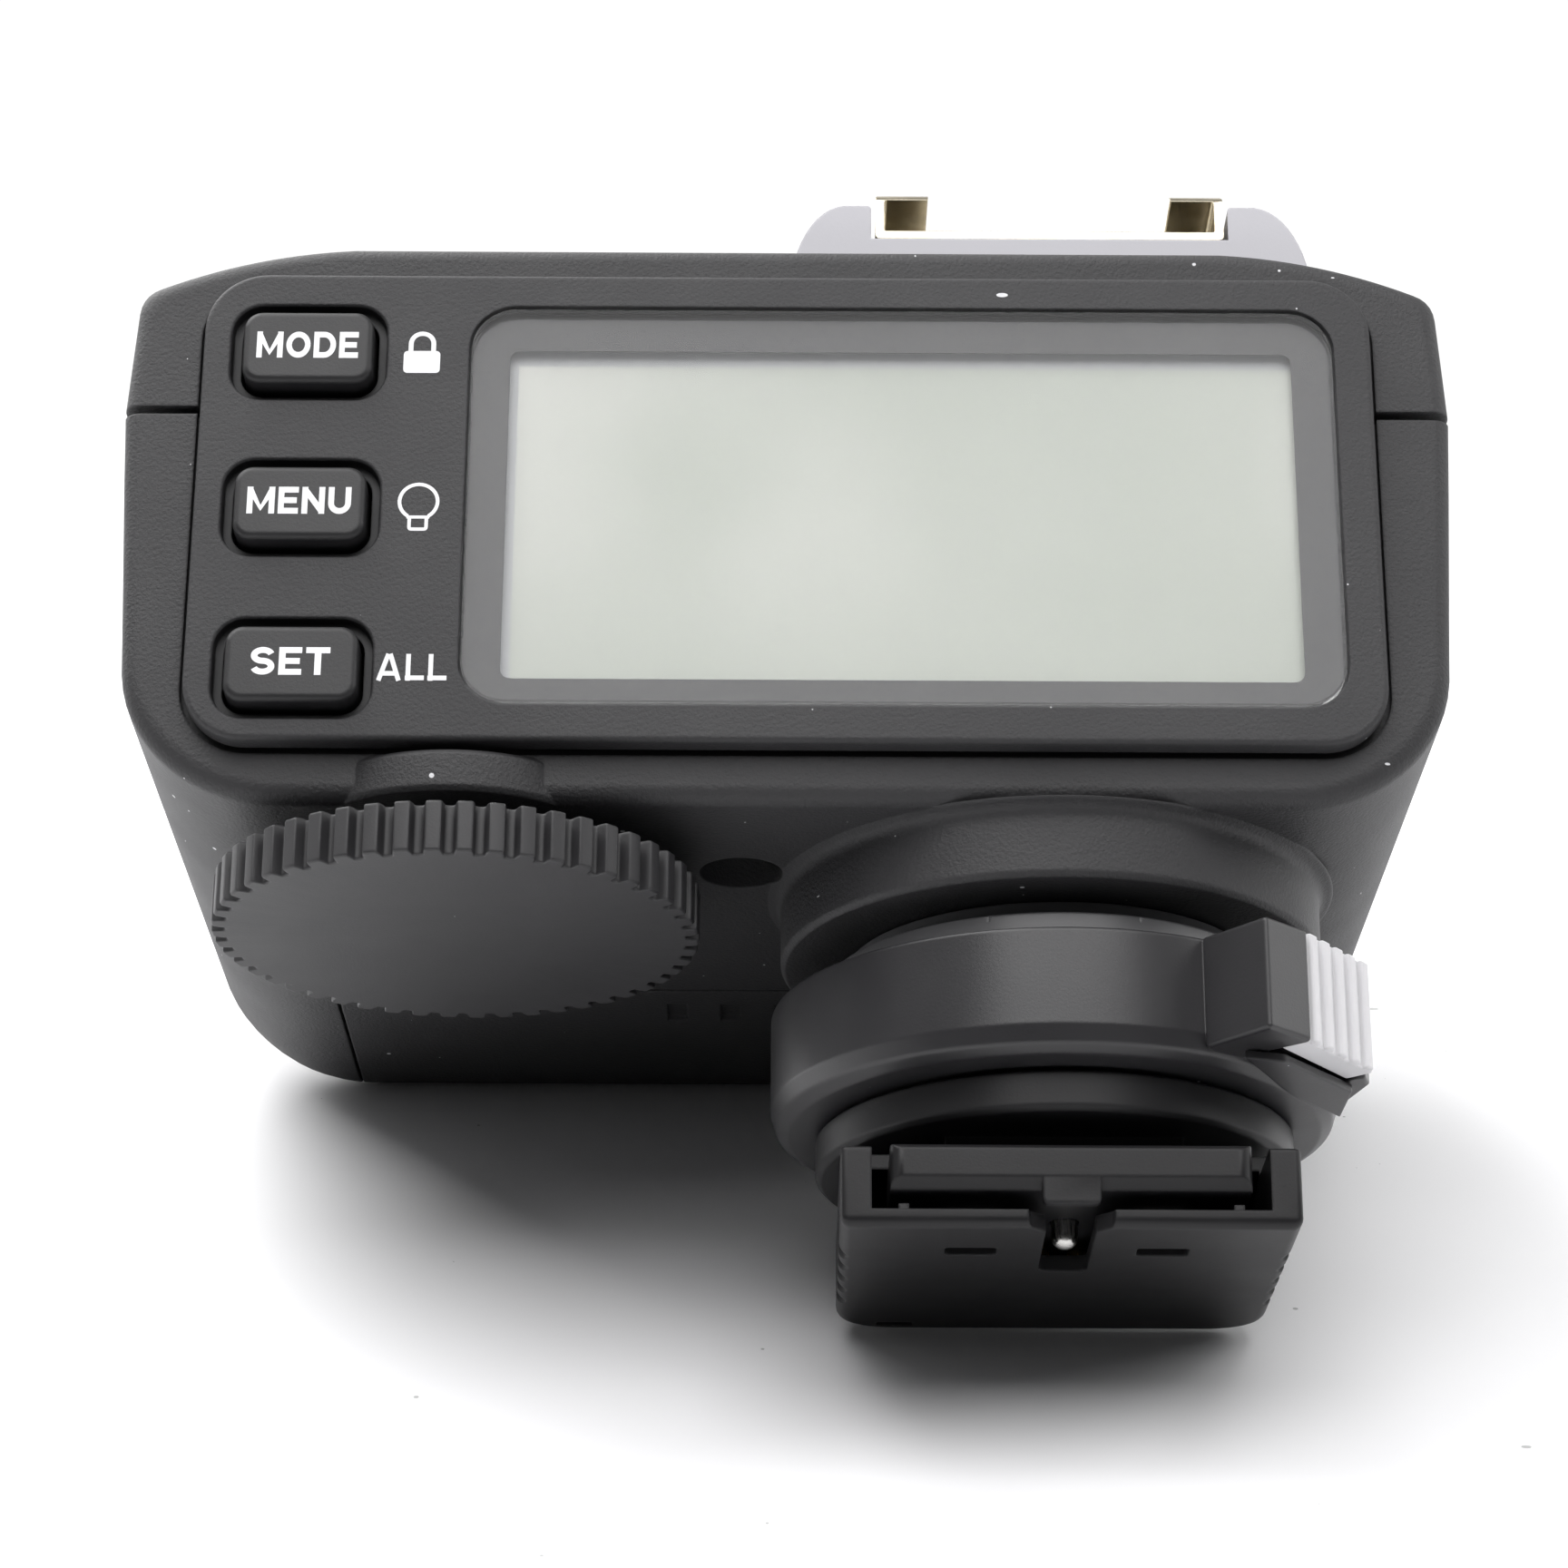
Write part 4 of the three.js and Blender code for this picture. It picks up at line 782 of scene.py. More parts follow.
class BuildShells(bpy.types.Operator):
    """Lower shell, top cover and battery door with their wall thickness and openings"""

    bl_idname = "trigger.build_shells"
    bl_label = "Shells and battery door"

    def execute(self, context):
        looks = finishes()
        edge = sizes().rear_edge / MM
        skin = cut(hull_body("skin", 0.0, edge), hull_body("cavity", WALL, 0.0))
        far = 60.0

        door = keep(copied(skin, "battery_door_panel"), block("tool", -DOOR_HALF, DOOR_HALF, DOOR_Y, far, 0, DOOR_TOP))
        knuckle = rod("tool", 1.1, -25.8, 25.8, (HINGE_Y, HINGE_Z), "x", 0.1)
        rib = block("tool", -25.8, 25.8, 50.2, 51.6, 31, HINGE_Z)
        latch = pad("tool", (-5, 5, DOOR_Y + 0.1, DOOR_Y + 1.5), "z", 23.8, 24.6, 0.1, 0.1, 0.2, 2)
        door = join(door, rib, knuckle, latch)
        pulls = [block("tool", -7 + k * 3.2, -5.8 + k * 3.2, DOOR_Y + 2.2, DOOR_Y + 5.2, 22, 22.8) for k in range(5)]
        door = cut(door, rod("tool", 0.68, -30, 30, (HINGE_Y, HINGE_Z), "x", sides=24), *pulls)
        dress(door, looks["shell"], "door", ("battery_door",))

        lower = keep(copied(skin, "housing_lower"), block("tool", -far, far, -far, far, 0, SEAM_Z - SEAM_GAP))
        column = turned("tool", softened(
            [(0, 18.4), (14.75, 18.4), (15, 18.7), (15, 22.2), (16.1, 22.62), (0, 23.6)],
            [0, 0.1, 0.3, 1.0, 0.4, 0], 6, False), (FOOT_X, FOOT_Y), sides=144)
        boss = turned("tool", softened(
            [(0, UNDER_Z), (8.9, UNDER_Z), (9.1, 22.8), (9.1, 24.6), (8.8, 24.9), (0, 24.9)],
            [0, 0.1, 0.2, 0.2, 0.2, 0], 5, False), (DIAL_X, DIAL_Y), sides=120)
        bosspost = rod("tool", 3.6, UNDER_Z + 0.1, 33, (SCREW_X, SCREW_Y))
        ears = [block("tool", x - 1.2, x + 1.2, 48.4, 50.15, 30.4, 36) for x in (-28.2, 28.2)]
        lower = join(lower, column, boss, bosspost, *ears)
        tools = [face_slab("tool"), *panel_groove(),
                 block("tool", -DOOR_HALF - 0.2, DOOR_HALF + 0.2, DOOR_Y - 0.4, far, 0, DOOR_TOP + 0.2),
                 rod("tool", 1.4, -DOOR_HALF - 0.2, DOOR_HALF + 0.2, (HINGE_Y, HINGE_Z), "x", sides=32),
                 block("tool", -DOOR_HALF - 0.2, DOOR_HALF + 0.2, 51, far, DOOR_TOP, HINGE_Z + 1.55),
                 rod("tool", 0.65, -DOOR_HALF - 3.2, DOOR_HALF + 3.2, (HINGE_Y, HINGE_Z), "x", sides=24),
                 rod("tool", 8.15, 17, 26, (FOOT_X, FOOT_Y)),
                 rod("tool", 4.2, UNDER_Z - 1, 26, (DIAL_X, DIAL_Y)),
                 rod("tool", 2.3, UNDER_Z - 1, 26.5, (SCREW_X, SCREW_Y)),
                 rod("tool", 1.15, 26, 34, (SCREW_X, SCREW_Y), sides=24),
                 switch_slot(15), switch_slot(29),
                 pad("tool", (9.38, 18.62, 35.2, 38.8), "x", 30, 40, r=1.2),
                 rod("tool", 3.15, 30, 40, (28, 37), "x")]
        lower = cut(lower, *tools)
        dress(lower, looks["shell"], "housing", ("lower_shell",))

        cover = keep(skin, block("tool", -far, far, -far, far, SEAM_Z + SEAM_GAP, far))
        cover.name = "housing_top"
        keys = [pad("tool", key_rect(g, 0.2), "z", 50, 60, r=1.2) for g in GROUPS]
        lamp_lo, lamp_hi = drawn("beam_lens")
        cover = cut(cover, face_slab("tool"), *panel_groove(),
                    block("tool", SHOE_X - 7, SHOE_X + 7, SHOE_Y + 1.4, SHOE_Y + 18.6, 50, 60),
                    *keys,
                    rod("tool", 4.4, 50, 60, test_place()),
                    rod("tool", 1.1, 50, 60, lamp_place(), sides=24),
                    block("tool", lamp_lo[0] - 0.1, lamp_hi[0] + 0.1, 47, 54, lamp_lo[2] - 0.1, lamp_hi[2] + 0.1))
        tongue = cut(keep(hull_body("cover_tongue", WALL + 0.15, 0.0),
                          block("tool", -far, far, WALL + 2, far, 43.6, SEAM_Z + SEAM_GAP + 0.4)),
                     hull_body("tool", WALL + 1, 0.0))
        cover = gathered("housing_top", cover, tongue)
        dress(cover, looks["shell"], "housing", ("top_cover",))
        return {"FINISHED"}


def key_rect(letter, gap=0.0):
    x, y, _ = centre_of(f"group_{letter}_button")
    return x - 3.7 - gap, x + 3.7 + gap, y - 2.2 - gap, y + 2.2 + gap


def test_place():
    return tuple(centre_of("test_button")[:2])


def lamp_place():
    return tuple(centre_of("status_lamp")[:2])


# ---- rear panel, window and display ---------------------------------------------------------
WINDOW = (-15.2, 27.65, 29.25, 48.9)


def face_key_box(key):
    """(x0, x1, z0, z1) of a face key's cap."""
    lo, hi = drawn(f"{key}_button")
    return lo[0] + 0.5, hi[0] - 0.5, lo[2] + 0.5, hi[2] - 0.5


def glass_box():
    lo, hi = drawn("lcd_glass")
    return lo[0], hi[0], lo[2], hi[2]


def grown(rect, gap):
    return rect[0] - gap, rect[1] + gap, rect[2] - gap, rect[3] + gap


def blacken_wells(mesh, look):
    """Paints shade into the key wells: their walls and floors get the darker plastic."""
    mesh.materials.append(look)
    for polygon in mesh.polygons:
        x, y, z = [c / MM - s for c, s in zip(polygon.center, HOUSE)]
        inside = any(box[0] - 0.95 < x < box[1] + 0.95 and box[2] - 0.95 < z < box[3] + 0.95
                     for box in map(face_key_box, FACE_KEYS))
        if inside and y > FACE_Y + 0.14:
            polygon.material_index = 1


class BuildPanel(bpy.types.Operator):
    """Bezel panel with its key wells, the window, its printed border and the display"""

    bl_idname = "trigger.build_panel"
    bl_label = "Panel, window and display"

    def execute(self, context):
        looks = finishes()
        edge = sizes().panel_edge / MM
        face = pad("bezel_face", (-32, 32, 25.4, 53.3), "y", FACE_Y, -0.05, edge, 0.0, 3.4, 14)
        plug = block("tool", -30.3, 30.3, -0.2, 1.6, 27.2, 51.6)
        face = join(face, plug)
        glass = glass_box()
        tools = [pad("tool", grown(glass, 0.14), "y", -5, FACE_Y + 1.0, r=2.6, steps=12),
                 pad("tool", grown(WINDOW, 0.3), "y", -5, 3, r=0.8)]
        for key in FACE_KEYS:
            box = face_key_box(key)
            well = [[(u, d, v) for u, v in rectangle(*grown(box, gap), 1 + gap, 0.0, 10)]
                    for d, gap in ((-5, 0.86), (FACE_Y - 0.02, 0.86), (FACE_Y + 0.03, 0.78), (FACE_Y + 0.12, 0.71),
                                   (FACE_Y + 0.75, 0.68), (FACE_Y + 0.8, 0.62))]
            tools += [loft("tool", well), pad("tool", grown(box, 0.2), "y", -5, 3, r=1.2, steps=10)]
        face = cut(face, *tools)
        dress(face, looks["panel"], "housing", ("bezel_panel",))
        # The wells' darker plastic is painted shade in the recesses.
        blacken_wells(face.data, looks["dark"])

        pane = pad("window_pane", glass, "y", FACE_Y - 0.0, FACE_Y + 0.9, 0.12, 0.05, 2.5, 14)
        dress(pane, looks["window"], "housing", ("lcd_glass",))
        border = pad("window_border", grown(glass, -0.1), "y", FACE_Y + 0.93, FACE_Y + 0.98, 0, 0, 2.4, 14)
        border = cut(border, pad("tool", WINDOW, "y", -5, 3, r=0.55, steps=6))
        dress(border, looks["border"], "housing")
        return {"FINISHED"}


# ---- face keys and printed legends ----------------------------------------------------------
def ribbon(points, width):
    """A flat closed outline following a path."""
    left, right = [], []
    for i, p in enumerate(points):
        a = Vector(points[max(i - 1, 0)])
        b = Vector(points[min(i + 1, len(points) - 1)])
        way = (b - a).normalized()
        side = Vector((-way.y, way.x)) * width / 2
        left.append(tuple(Vector(p) + side))
        right.append(tuple(Vector(p) - side))
    return left + right[::-1]


STROKE = 0.215


def oval(cx, cz, rx, rz, start, end, count):
    """Points along an upright oval, from one angle to another."""
    return [(cx + rx * math.cos(a), cz + rz * math.sin(a)) for a in np.linspace(start, end, count)]


def letter_strokes(letter):
    """Centre lines of a letter one unit tall, and its width."""
    t = STROKE / 2
    top, mid, low = 1 - t, 0.5, t
    if letter == "M":
        return 1.02, [[(t, 0), (t, 1)], [(t, 0.9), (0.51, 0.2), (1.02 - t, 0.9)], [(1.02 - t, 0), (1.02 - t, 1)]]
    if letter == "N":
        return 0.84, [[(t, 0), (t, 1)], [(t, 0.9), (0.84 - t, 0.1)], [(0.84 - t, 0), (0.84 - t, 1)]]
    if letter == "O":
        return 0.94, [oval(0.47, 0.5, 0.47 - t, 0.5 - t, 0, FULL, 41)]
    if letter == "D":
        bowl = oval(0.4, 0.5, 0.46 - t, 0.5 - t, QUARTER, -QUARTER, 21)
        return 0.86, [[(t, 0), (t, 1)], [(0, top)] + bowl + [(0, low)]]
    if letter == "E":
        return 0.74, [[(t, 0), (t, 1)]] + [[(0, z), (0.74 if z != mid else 0.68, z)] for z in (low, mid, top)]
    if letter == "U":
        return 0.84, [[(t, 1)] + oval(0.42, 0.4, 0.42 - t, 0.4 - t, -2 * QUARTER, 0, 21) + [(0.84 - t, 1)]]
    if letter == "S":
        w, r = 0.78, 0.25 - t / 2
        upper = oval(w / 2, 0.5 + r, w / 2 - t, r, 0.3, 3 * QUARTER, 20)
        lower = oval(w / 2, 0.5 - r, w / 2 - t, r, QUARTER, -2 * QUARTER + 0.3, 20)
        return w, [upper + lower[1:]]
    if letter == "T":
        return 0.78, [[(0, top), (0.78, top)], [(0.39, 0), (0.39, 1)]]
    if letter == "A":
        return 0.94, [[(t * 0.9, 0), (0.47 - t * 0.3, 1)], [(0.47 + t * 0.3, 1), (0.94 - t * 0.9, 0)],
                      [(0.2, 0.27), (0.74, 0.27)]]
    if letter == "L":
        return 0.7, [[(t, 0), (t, 1)], [(0, low), (0.7, low)]]
    if letter == "B":
        bowls = []
        for side in (-1, 1):
            reach = side * (0.25 - t / 2)
            bowl = oval(0.42, 0.5 + reach, 0.34 - t, reach, QUARTER, -QUARTER, 16)
            bowls.append([(0, 0.5 + side * (0.5 - t))] + bowl + [(0, 0.5)])
        return 0.76, [[(t, 0), (t, 1)], *bowls]
    return 0.88, [oval(0.46, 0.5, 0.46 - t, 0.5 - t, 0.8, FULL - 0.8, 33)]


def word_outlines(text, width, height, stroke=1.0):
    """Outlines of a word centred on nothing, fitted to a width and height."""
    lines, pen = [], 0.0
    for letter in text:
        advance, strokes = letter_strokes(letter)
        lines += [[(x + pen, z) for x, z in line] for line in strokes]
        pen += advance + 0.13
    pen -= 0.13
    return [[((x - pen / 2) / pen * width, (z - 0.5) * height) for x, z in ribbon(line, STROKE * stroke)]
            for line in lines]


def word(name, text, x, z, y, width, height, stroke=1.0):
    """A printed word lying on a rear facing surface at depth y, centred at x, z."""
    outlines = word_outlines(text, width, height, stroke)
    return printed(name, [[(u + x, v + z) for u, v in outline] for outline in outlines], y)


def merged(name, parts):
    """Overlapping strokes as one solid."""
    whole = join(parts[0], *parts[1:]) if len(parts) > 1 else parts[0]
    whole.name = name
    return whole


def top_word(name, text, x, y, z, width, height):
    """A printed word on the top, read from the rear."""
    parts = [prism(name, [(u + x, v + y) for u, v in outline], "z", z - 0.01, z + 0.01)
             for outline in word_outlines(text, width, height)]
    return merged(name, parts)


def printed(name, outlines, y):
    parts = [prism(f"{name}_{k}", outline, "y", y - 0.012, y + 0.012) for k, outline in enumerate(outlines)]
    return merged(name, parts)


def padlock(x, z):
    body = rectangle(x - 1.0, x + 1.0, z - 1.25, z + 0.1, 0.22, 0.0, 4)
    shackle = [(x - 0.62, z + 0.05)] + arc(x, z + 0.55, 0.62, math.pi, 0, 14) + [(x + 0.62, z + 0.05)]
    return [body, ribbon(shackle, 0.26)]


def light_bulb(x, z):
    globe = arc(x, z + 0.33, 1.03, -0.32 * math.pi, 1.32 * math.pi, 30)
    base = [(x - 0.46, z - 0.62), (x - 0.46, z - 1.32), (x + 0.46, z - 1.32), (x + 0.46, z - 0.62)]
    neck = [(x - 0.62, z - 0.6), (x + 0.62, z - 0.6)]
    return [ribbon(globe, 0.2), ribbon(softened(base, [0, 0.12, 0.12, 0], 3, False), 0.19), ribbon(neck, 0.18)]


class BuildFaceKeys(bpy.types.Operator):
    """The three rear keys with their words, and the signs printed beside them"""

    bl_idname = "trigger.build_face_keys"
    bl_label = "Face keys and legends"

    def execute(self, context):
        looks = finishes()
        edge = sizes().key_edge / MM
        widths = {"mode": 5.55, "menu": 5.6, "set": 4.2}
        for key in FACE_KEYS:
            x0, x1, z0, z1 = face_key_box(key)
            front = drawn(f"{key}_button")[0][1]
            cap = pad(f"{key}_key", (x0, x1, z0, z1), "y", front, 2.5, edge, 0.0, 1.0, 10)
            flange = pad("tool", grown((x0, x1, z0, z1), 0.5), "y", 2.4, 3.1, 0.1, 0.1, 1.4, 6)
            stem = rod("tool", 1.2, 3.0, 4.0, ((x0 + x1) / 2, (z0 + z1) / 2), "y")
            cap = join(cap, flange, stem)
            dress(cap, looks["keys"], f"{key}_key", (f"{key}_button",))
            label = word(f"{key}_legend", key.upper(), (x0 + x1) / 2, (z0 + z1) / 2 + 0.05, front + 0.002,
                         widths[key], 1.6)
            dress(label, looks["legend"], f"{key}_key")
        row = {key: sum(face_key_box(key)[2:]) / 2 for key in FACE_KEYS}
        every = word("all_legend", "ALL", -19.85, row["set"] + 0.05, FACE_Y + 0.002, 3.75, 1.55, 0.8)
        dress(every, looks["legend"], "housing")
        dress(printed("lock_sign", padlock(-20.0, row["mode"]), FACE_Y + 0.002), looks["legend"], "housing")
        dress(printed("light_sign", light_bulb(-19.85, row["menu"] + 0.05), FACE_Y + 0.002), looks["legend"],
              "housing")
        return {"FINISHED"}


# ---- selection dial -------------------------------------------------------------------------
class BuildDial(bpy.types.Operator):
    """Selection dial: one tooth sector, repeated round the shaft"""

    bl_idname = "trigger.build_dial"
    bl_label = "Selection dial"

    def execute(self, context):
        looks = finishes()
        teeth = sizes().dial_teeth
        edge = sizes().dial_edge / MM
        outer = (drawn("select_dial")[1][0] - drawn("select_dial")[0][0]) / 2 - 0.01
        groove = 0.72
        pitch = FULL / teeth
        # one tooth and its valley: share of the pitch, share of the groove's depth
        shape = [(0.0, 0.16), (0.03, 0.6), (0.08, 0.93), (0.14, 1.0), (0.5, 1.0), (0.56, 0.93), (0.61, 0.6),
                 (0.64, 0.16), (0.7, 0.04), (0.82, 0.0), (0.94, 0.04), (1.0, 0.16)]
        stations = edge_stations(DIAL_LOW, DIAL_TOP, edge, edge, 3)
        points, faces = [], []
        for z, inset in stations:
            for turn, high in shape:
                r = outer - groove * (1 - high) - inset
                points.append((r * math.cos(turn * pitch), r * math.sin(turn * pitch), z))
        n = len(shape)
        for s in range(len(stations) - 1):
            for i in range(n - 1):
                a = s * n + i
                faces.append((a, a + 1, a + n + 1, a + n))
        for s in (0, len(stations) - 1):
            centre = len(points)
            points.append((0.0, 0.0, stations[s][0]))
            for i in range(n - 1):
                faces.append((s * n + i + 1, s * n + i, centre) if s == 0 else (s * n + i, s * n + i + 1, centre))
        shift = (HOUSE[0] + DIAL_X, HOUSE[1] + DIAL_Y, 0.0)
        sector = solid("dial_body", points, faces, shift)
        dial = repeated(sector, teeth, looks["dial"], pitch, centre=shift)
        weld = bmesh.new()
        weld.from_mesh(dial.data)
        bmesh.ops.remove_doubles(weld, verts=weld.verts, dist=1e-6)
        bmesh.ops.recalc_face_normals(weld, faces=weld.faces)
        weld.to_mesh(dial.data)
        weld.free()
        hub = rod("dial_hub", 5.0, DIAL_TOP - 0.2, 22.2, (DIAL_X, DIAL_Y), edge=0.1)
        hub = cut(hub, rod("tool", 3.06, 18, 30, (DIAL_X, DIAL_Y)))
        dial = gathered("dial_body", dial, hub)
        dress(dial, looks["dial"], "dial", ("select_dial",), 40)
        shaft = rod("dial_shaft", 2.98, DIAL_TOP, 27.8, (DIAL_X, DIAL_Y), edge=0.2)
        dress(shaft, looks["steel"], "dial", ("encoder_shaft",))
        return {"FINISHED"}


# ---- top keys, lamp, side switches and sockets ----------------------------------------------
class BuildControls(bpy.types.Operator):
    """Group keys, test key, status lamp, side switches, assist lamp lens and sockets"""

    bl_idname = "trigger.build_controls"
    bl_label = "Top keys, switches and sockets"

    def execute(self, context):
        looks = finishes()
        for letter in GROUPS:
            lo, hi = drawn(f"group_{letter}_button")
            cap = pad(f"group_{letter}_key", key_rect(letter), "z", 54.5, hi[2], 0.0, 0.35, 1.0, 8)
            x, y = (lo[0] + hi[0]) / 2, (lo[1] + hi[1]) / 2
            skirt = pad("tool", (x - 3, x + 3, y - 1.8, y + 1.8), "z", 53, 55, r=0.3, steps=2)
            flange = pad("tool", (x - 3.95, x + 3.95, y - 2.6, y + 2.6), "z", 52.7, 53.5, 0.1, 0.1, 0.4, 3)
            stem = block("tool", x - 1, x + 1, y - 1, y + 1, lo[2], 53.1)
            dress(join(cap, skirt, flange, stem), looks["keys"], f"group_{letter}_key",
                  (f"group_{letter}_button",))
            label = top_word(f"group_{letter}_legend", letter.upper(), x, y, hi[2] + 0.004, 1.7, 1.9)
            dress(label, looks["legend"], f"group_{letter}_key")
        x, y = test_place()
        lo, hi = drawn("test_button")
        crown = softened([(0, 53), (4.2, 53), (4.2, hi[2] - 0.1), (3.6, hi[2]), (3.2, hi[2] - 0.25), (0, hi[2] - 0.3)],
                         [0, 0.1, 0.4, 0.3, 0.6, 0], 5, False)
        key = turned("test_key_cap", crown, (x, y), sides=80)
        key = join(key, rod("tool", 4.9, 52.7, 53.4, (x, y), edge=0.1), rod("tool", 1.2, lo[2], 53.1, (x, y)))
        dress(key, looks["pale"], "test_key", ("test_button",))
        lx, ly = lamp_place()
        lamp_top = drawn("status_lamp")[1][2]
        lamp = turned("status_lens", [(0, 52), (1, 52), (1, lamp_top - 0.45), (0.85, lamp_top - 0.15),
                                      (0.5, lamp_top - 0.03), (0, lamp_top)], (lx, ly), sides=40)
        dress(lamp, looks["lamp"], "housing", ("status_lamp",))

        for name, body in (("power_switch", "power_slider"), ("beam_switch", "beam_slider")):
            lo, hi = drawn(name)
            y = (lo[1] + hi[1]) / 2
            knob = pad(f"{name}_knob", (y - 1.8, y + 1.8, 34.75, 37.25), "x", -33.5, lo[0], 0.0, 0.3, 0.4, 5)
            grooves = [block("tool", -38, lo[0] + 0.3, y + s - 0.22, y + s + 0.22, 30, 40) for s in (-1.0, 0.0, 1.0)]
            plate = pad("tool", (y - 3.2, y + 3.2, 33.6, 38.4), "x", -33.6, -32.6, 0.1, 0.1, 0.5, 4)
            dress(cut(join(knob, plate), *grooves), looks["keys"], body, (name,))

        lo, hi = drawn("beam_lens")
        lens = pad("assist_lens", (lo[0], hi[0], lo[2], hi[2]), "y", lo[1], hi[1] - 0.02, 0.1, 0.5, 1.0, 8)
        flutes = [rod("tool", 0.55, lo[2] - 1, hi[2] + 1, (lo[0] + 1.2 + k * 1.2, lo[1] - 0.2), "z", sides=16)
                  for k in range(13)]
        dress(cut(lens, *flutes), looks["red"], "housing", ("beam_lens",))

        shell = pad("usb_shell", (9.53, 18.47, 35.37, 38.63), "x", 29.2, 36.1, 0.1, 0.12, 1.5, 8)
        shell = cut(shell, pad("tool", (9.83, 18.17, 35.67, 38.33), "x", 31, 37, r=1.2, steps=8))
        dress(shell, looks["steel"], "housing", ("usb_socket",))
        tongue = pad("usb_tongue", (10.7, 17.3, 36.65, 37.35), "x", 30.9, 35.4, 0.0, 0.15, 0.2, 3)
        dress(tongue, looks["dark"], "housing")
        jack = turned("sync_jack", softened([(1.25, 30.5), (1.25, 36.2), (1.6, 36.5), (2.75, 36.5), (3, 36.3),
                                             (3, 29.2), (1.25, 29.2)], 0.05, 2), (28, 37), "x", 64, True)
        dress(jack, looks["steel"], "housing", ("sync_socket",))
        return {"FINISHED"}


# ---- accessory shoe -------------------------------------------------------------------------
def guard_profile():
    """Rear view of the shoe base: two guards with a flat deck between them."""
    left = [(-14.7, 54.4)] + bezier([(-14.7, 54.4), (-14.6, 57.2), (-13.4, 59.8), (-11.6, 60)], 12)
    left += softened([(-11.6, 60), (-10.1, 60), (-10.1, DECK_Z)], [0, 0.25, 0], 4, False)[1:]
    return left + [(-u, v) for u, v in reversed(left)]


def screw_places():
    return [tuple(centre_of(f"shoe_screw_{k}")[:2]) for k in range(1, 5)]


class BuildShoe(bpy.types.Operator):
    """Accessory shoe: plastic base, plated rail, contact block, contacts and screws"""

    bl_idname = "trigger.build_shoe"
    bl_label = "Accessory shoe"

    def execute(self, context):
        looks = finishes()
        outline = [(SHOE_X + u, v) for u, v in guard_profile()]
        base = prism("shoe_plastic_base", outline, "y", SHOE_Y + 0.02, SHOE_Y + SHOE_LENGTH)
        base = cut(base, hull_body("tool", -0.02, 0.0))
        base = join(base, block("tool", SHOE_X - 6.9, SHOE_X + 6.9, SHOE_Y + 1.5, SHOE_Y + 18.5, 54.2, 56.6))
        pocket = block("tool", SHOE_X - 4.35, SHOE_X + 4.35, SHOE_Y + 2.85, SHOE_Y + 16.15, 50, 60)
        holes = [rod("tool", 0.95, 50, 60, place, sides=24) for place in screw_places()]
        base = cut(base, pocket, *holes)
        dress(base, looks["shoe"], "housing", ("shoe_base",))

        lo, hi = drawn("shoe_rail")
        sheet, half, lip = 0.5, 9.35, 6.85
        z0, z1 = DECK_Z, hi[2]
        section = [(-half - sheet, z0), (half + sheet, z0), (half + sheet, z1), (lip, z1), (lip, z1 - sheet),
                   (half, z1 - sheet), (half, z0 + sheet), (-half, z0 + sheet), (-half, z1 - sheet),
                   (-lip, z1 - sheet), (-lip, z1), (-half - sheet, z1)]
        radii = [0.3, 0.3, 0.45, 0.1, 0.1, 0.2, 0.1, 0.1, 0.2, 0.1, 0.1, 0.45]
        section = [(SHOE_X + u, v) for u, v in softened(section, radii, 4)]
        rail = prism("shoe_rail_plate", section, "y", lo[1] + 0.02, hi[1])
        stop = block("tool", SHOE_X - 9, SHOE_X + 9, hi[1] - 0.5, hi[1], z0, z0 + 1.6)
        rail = join(rail, stop)
        pocket = block("tool", SHOE_X - 4.3, SHOE_X + 4.3, SHOE_Y + 2.9, SHOE_Y + 16.1, 50, 60)
        holes = [rod("tool", 0.95, 50, 60, place, sides=24) for place in screw_places()]
        y, z = lo[1], hi[2]
        rounding = [(y - 1, z - 0.6), (y + 0.02, z - 0.6), (y + 0.1, z - 0.3), (y + 0.3, z - 0.1), (y + 0.6, z),
                    (y + 0.6, z + 1), (y - 1, z + 1)]
        rail = cut(rail, pocket, prism("tool", rounding, "x", SHOE_X - 12, SHOE_X + 12), *holes)
        dress(rail, looks["brass"], "housing", ("shoe_rail",))

        lo, hi = drawn("shoe_contact_block")
        insert = pad("shoe_insert", (lo[0], hi[0], lo[1], hi[1]), "z", lo[2], hi[2], 0.0, 0.1, 0.3, 4)
        contacts = [(SHOE_X + x, SHOE_Y + y) for x, y in ((-2.6, 12.6), (2.6, 12.6), (-2.6, 6), (2.6, 6))]
        insert = cut(insert, rod("tool", 1.95, 50, 60, (SHOE_X, SHOE_Y + 9.3)),
                     *[rod("tool", 0.85, 50, 60, place, sides=24) for place in contacts])
        dress(insert, looks["dark"], "housing", ("shoe_contact_block",))
        button = turned("shoe_hot_contact", [(0, 54), (1.8, 54), (1.8, hi[2] - 0.12), (1.6, hi[2] - 0.03), (0, hi[2])],
                        (SHOE_X, SHOE_Y + 9.3), sides=48)
        dress(button, looks["gold"], "housing", ("shoe_center_contact",))

        first = screw_places()[0]
        top = drawn("shoe_screw_1")[1][2]
        head = turned("shoe_screw_heads", [(0, 55.4), (0.85, 55.4), (0.85, top - 0.12), (0.72, top), (0.0, top)],
                      first, sides=28)
        x, y = first
        for a, b in ((0.55, 0.11), (0.11, 0.55)):
            head = cut(head, block("tool", x - a, x + a, y - b, y + b, top - 0.35, 60))
        pitch_y = screw_places()[1][1] - first[1]
        column = repeated(head, 2, looks["steel"], step=(0, pitch_y, 0))
        heads = repeated(column, 2, looks["steel"], step=(screw_places()[2][0] - first[0], 0, 0))
        dress(heads, looks["steel"], "housing", tuple(f"shoe_screw_{k}" for k in range(1, 5)))
        return {"FINISHED"}


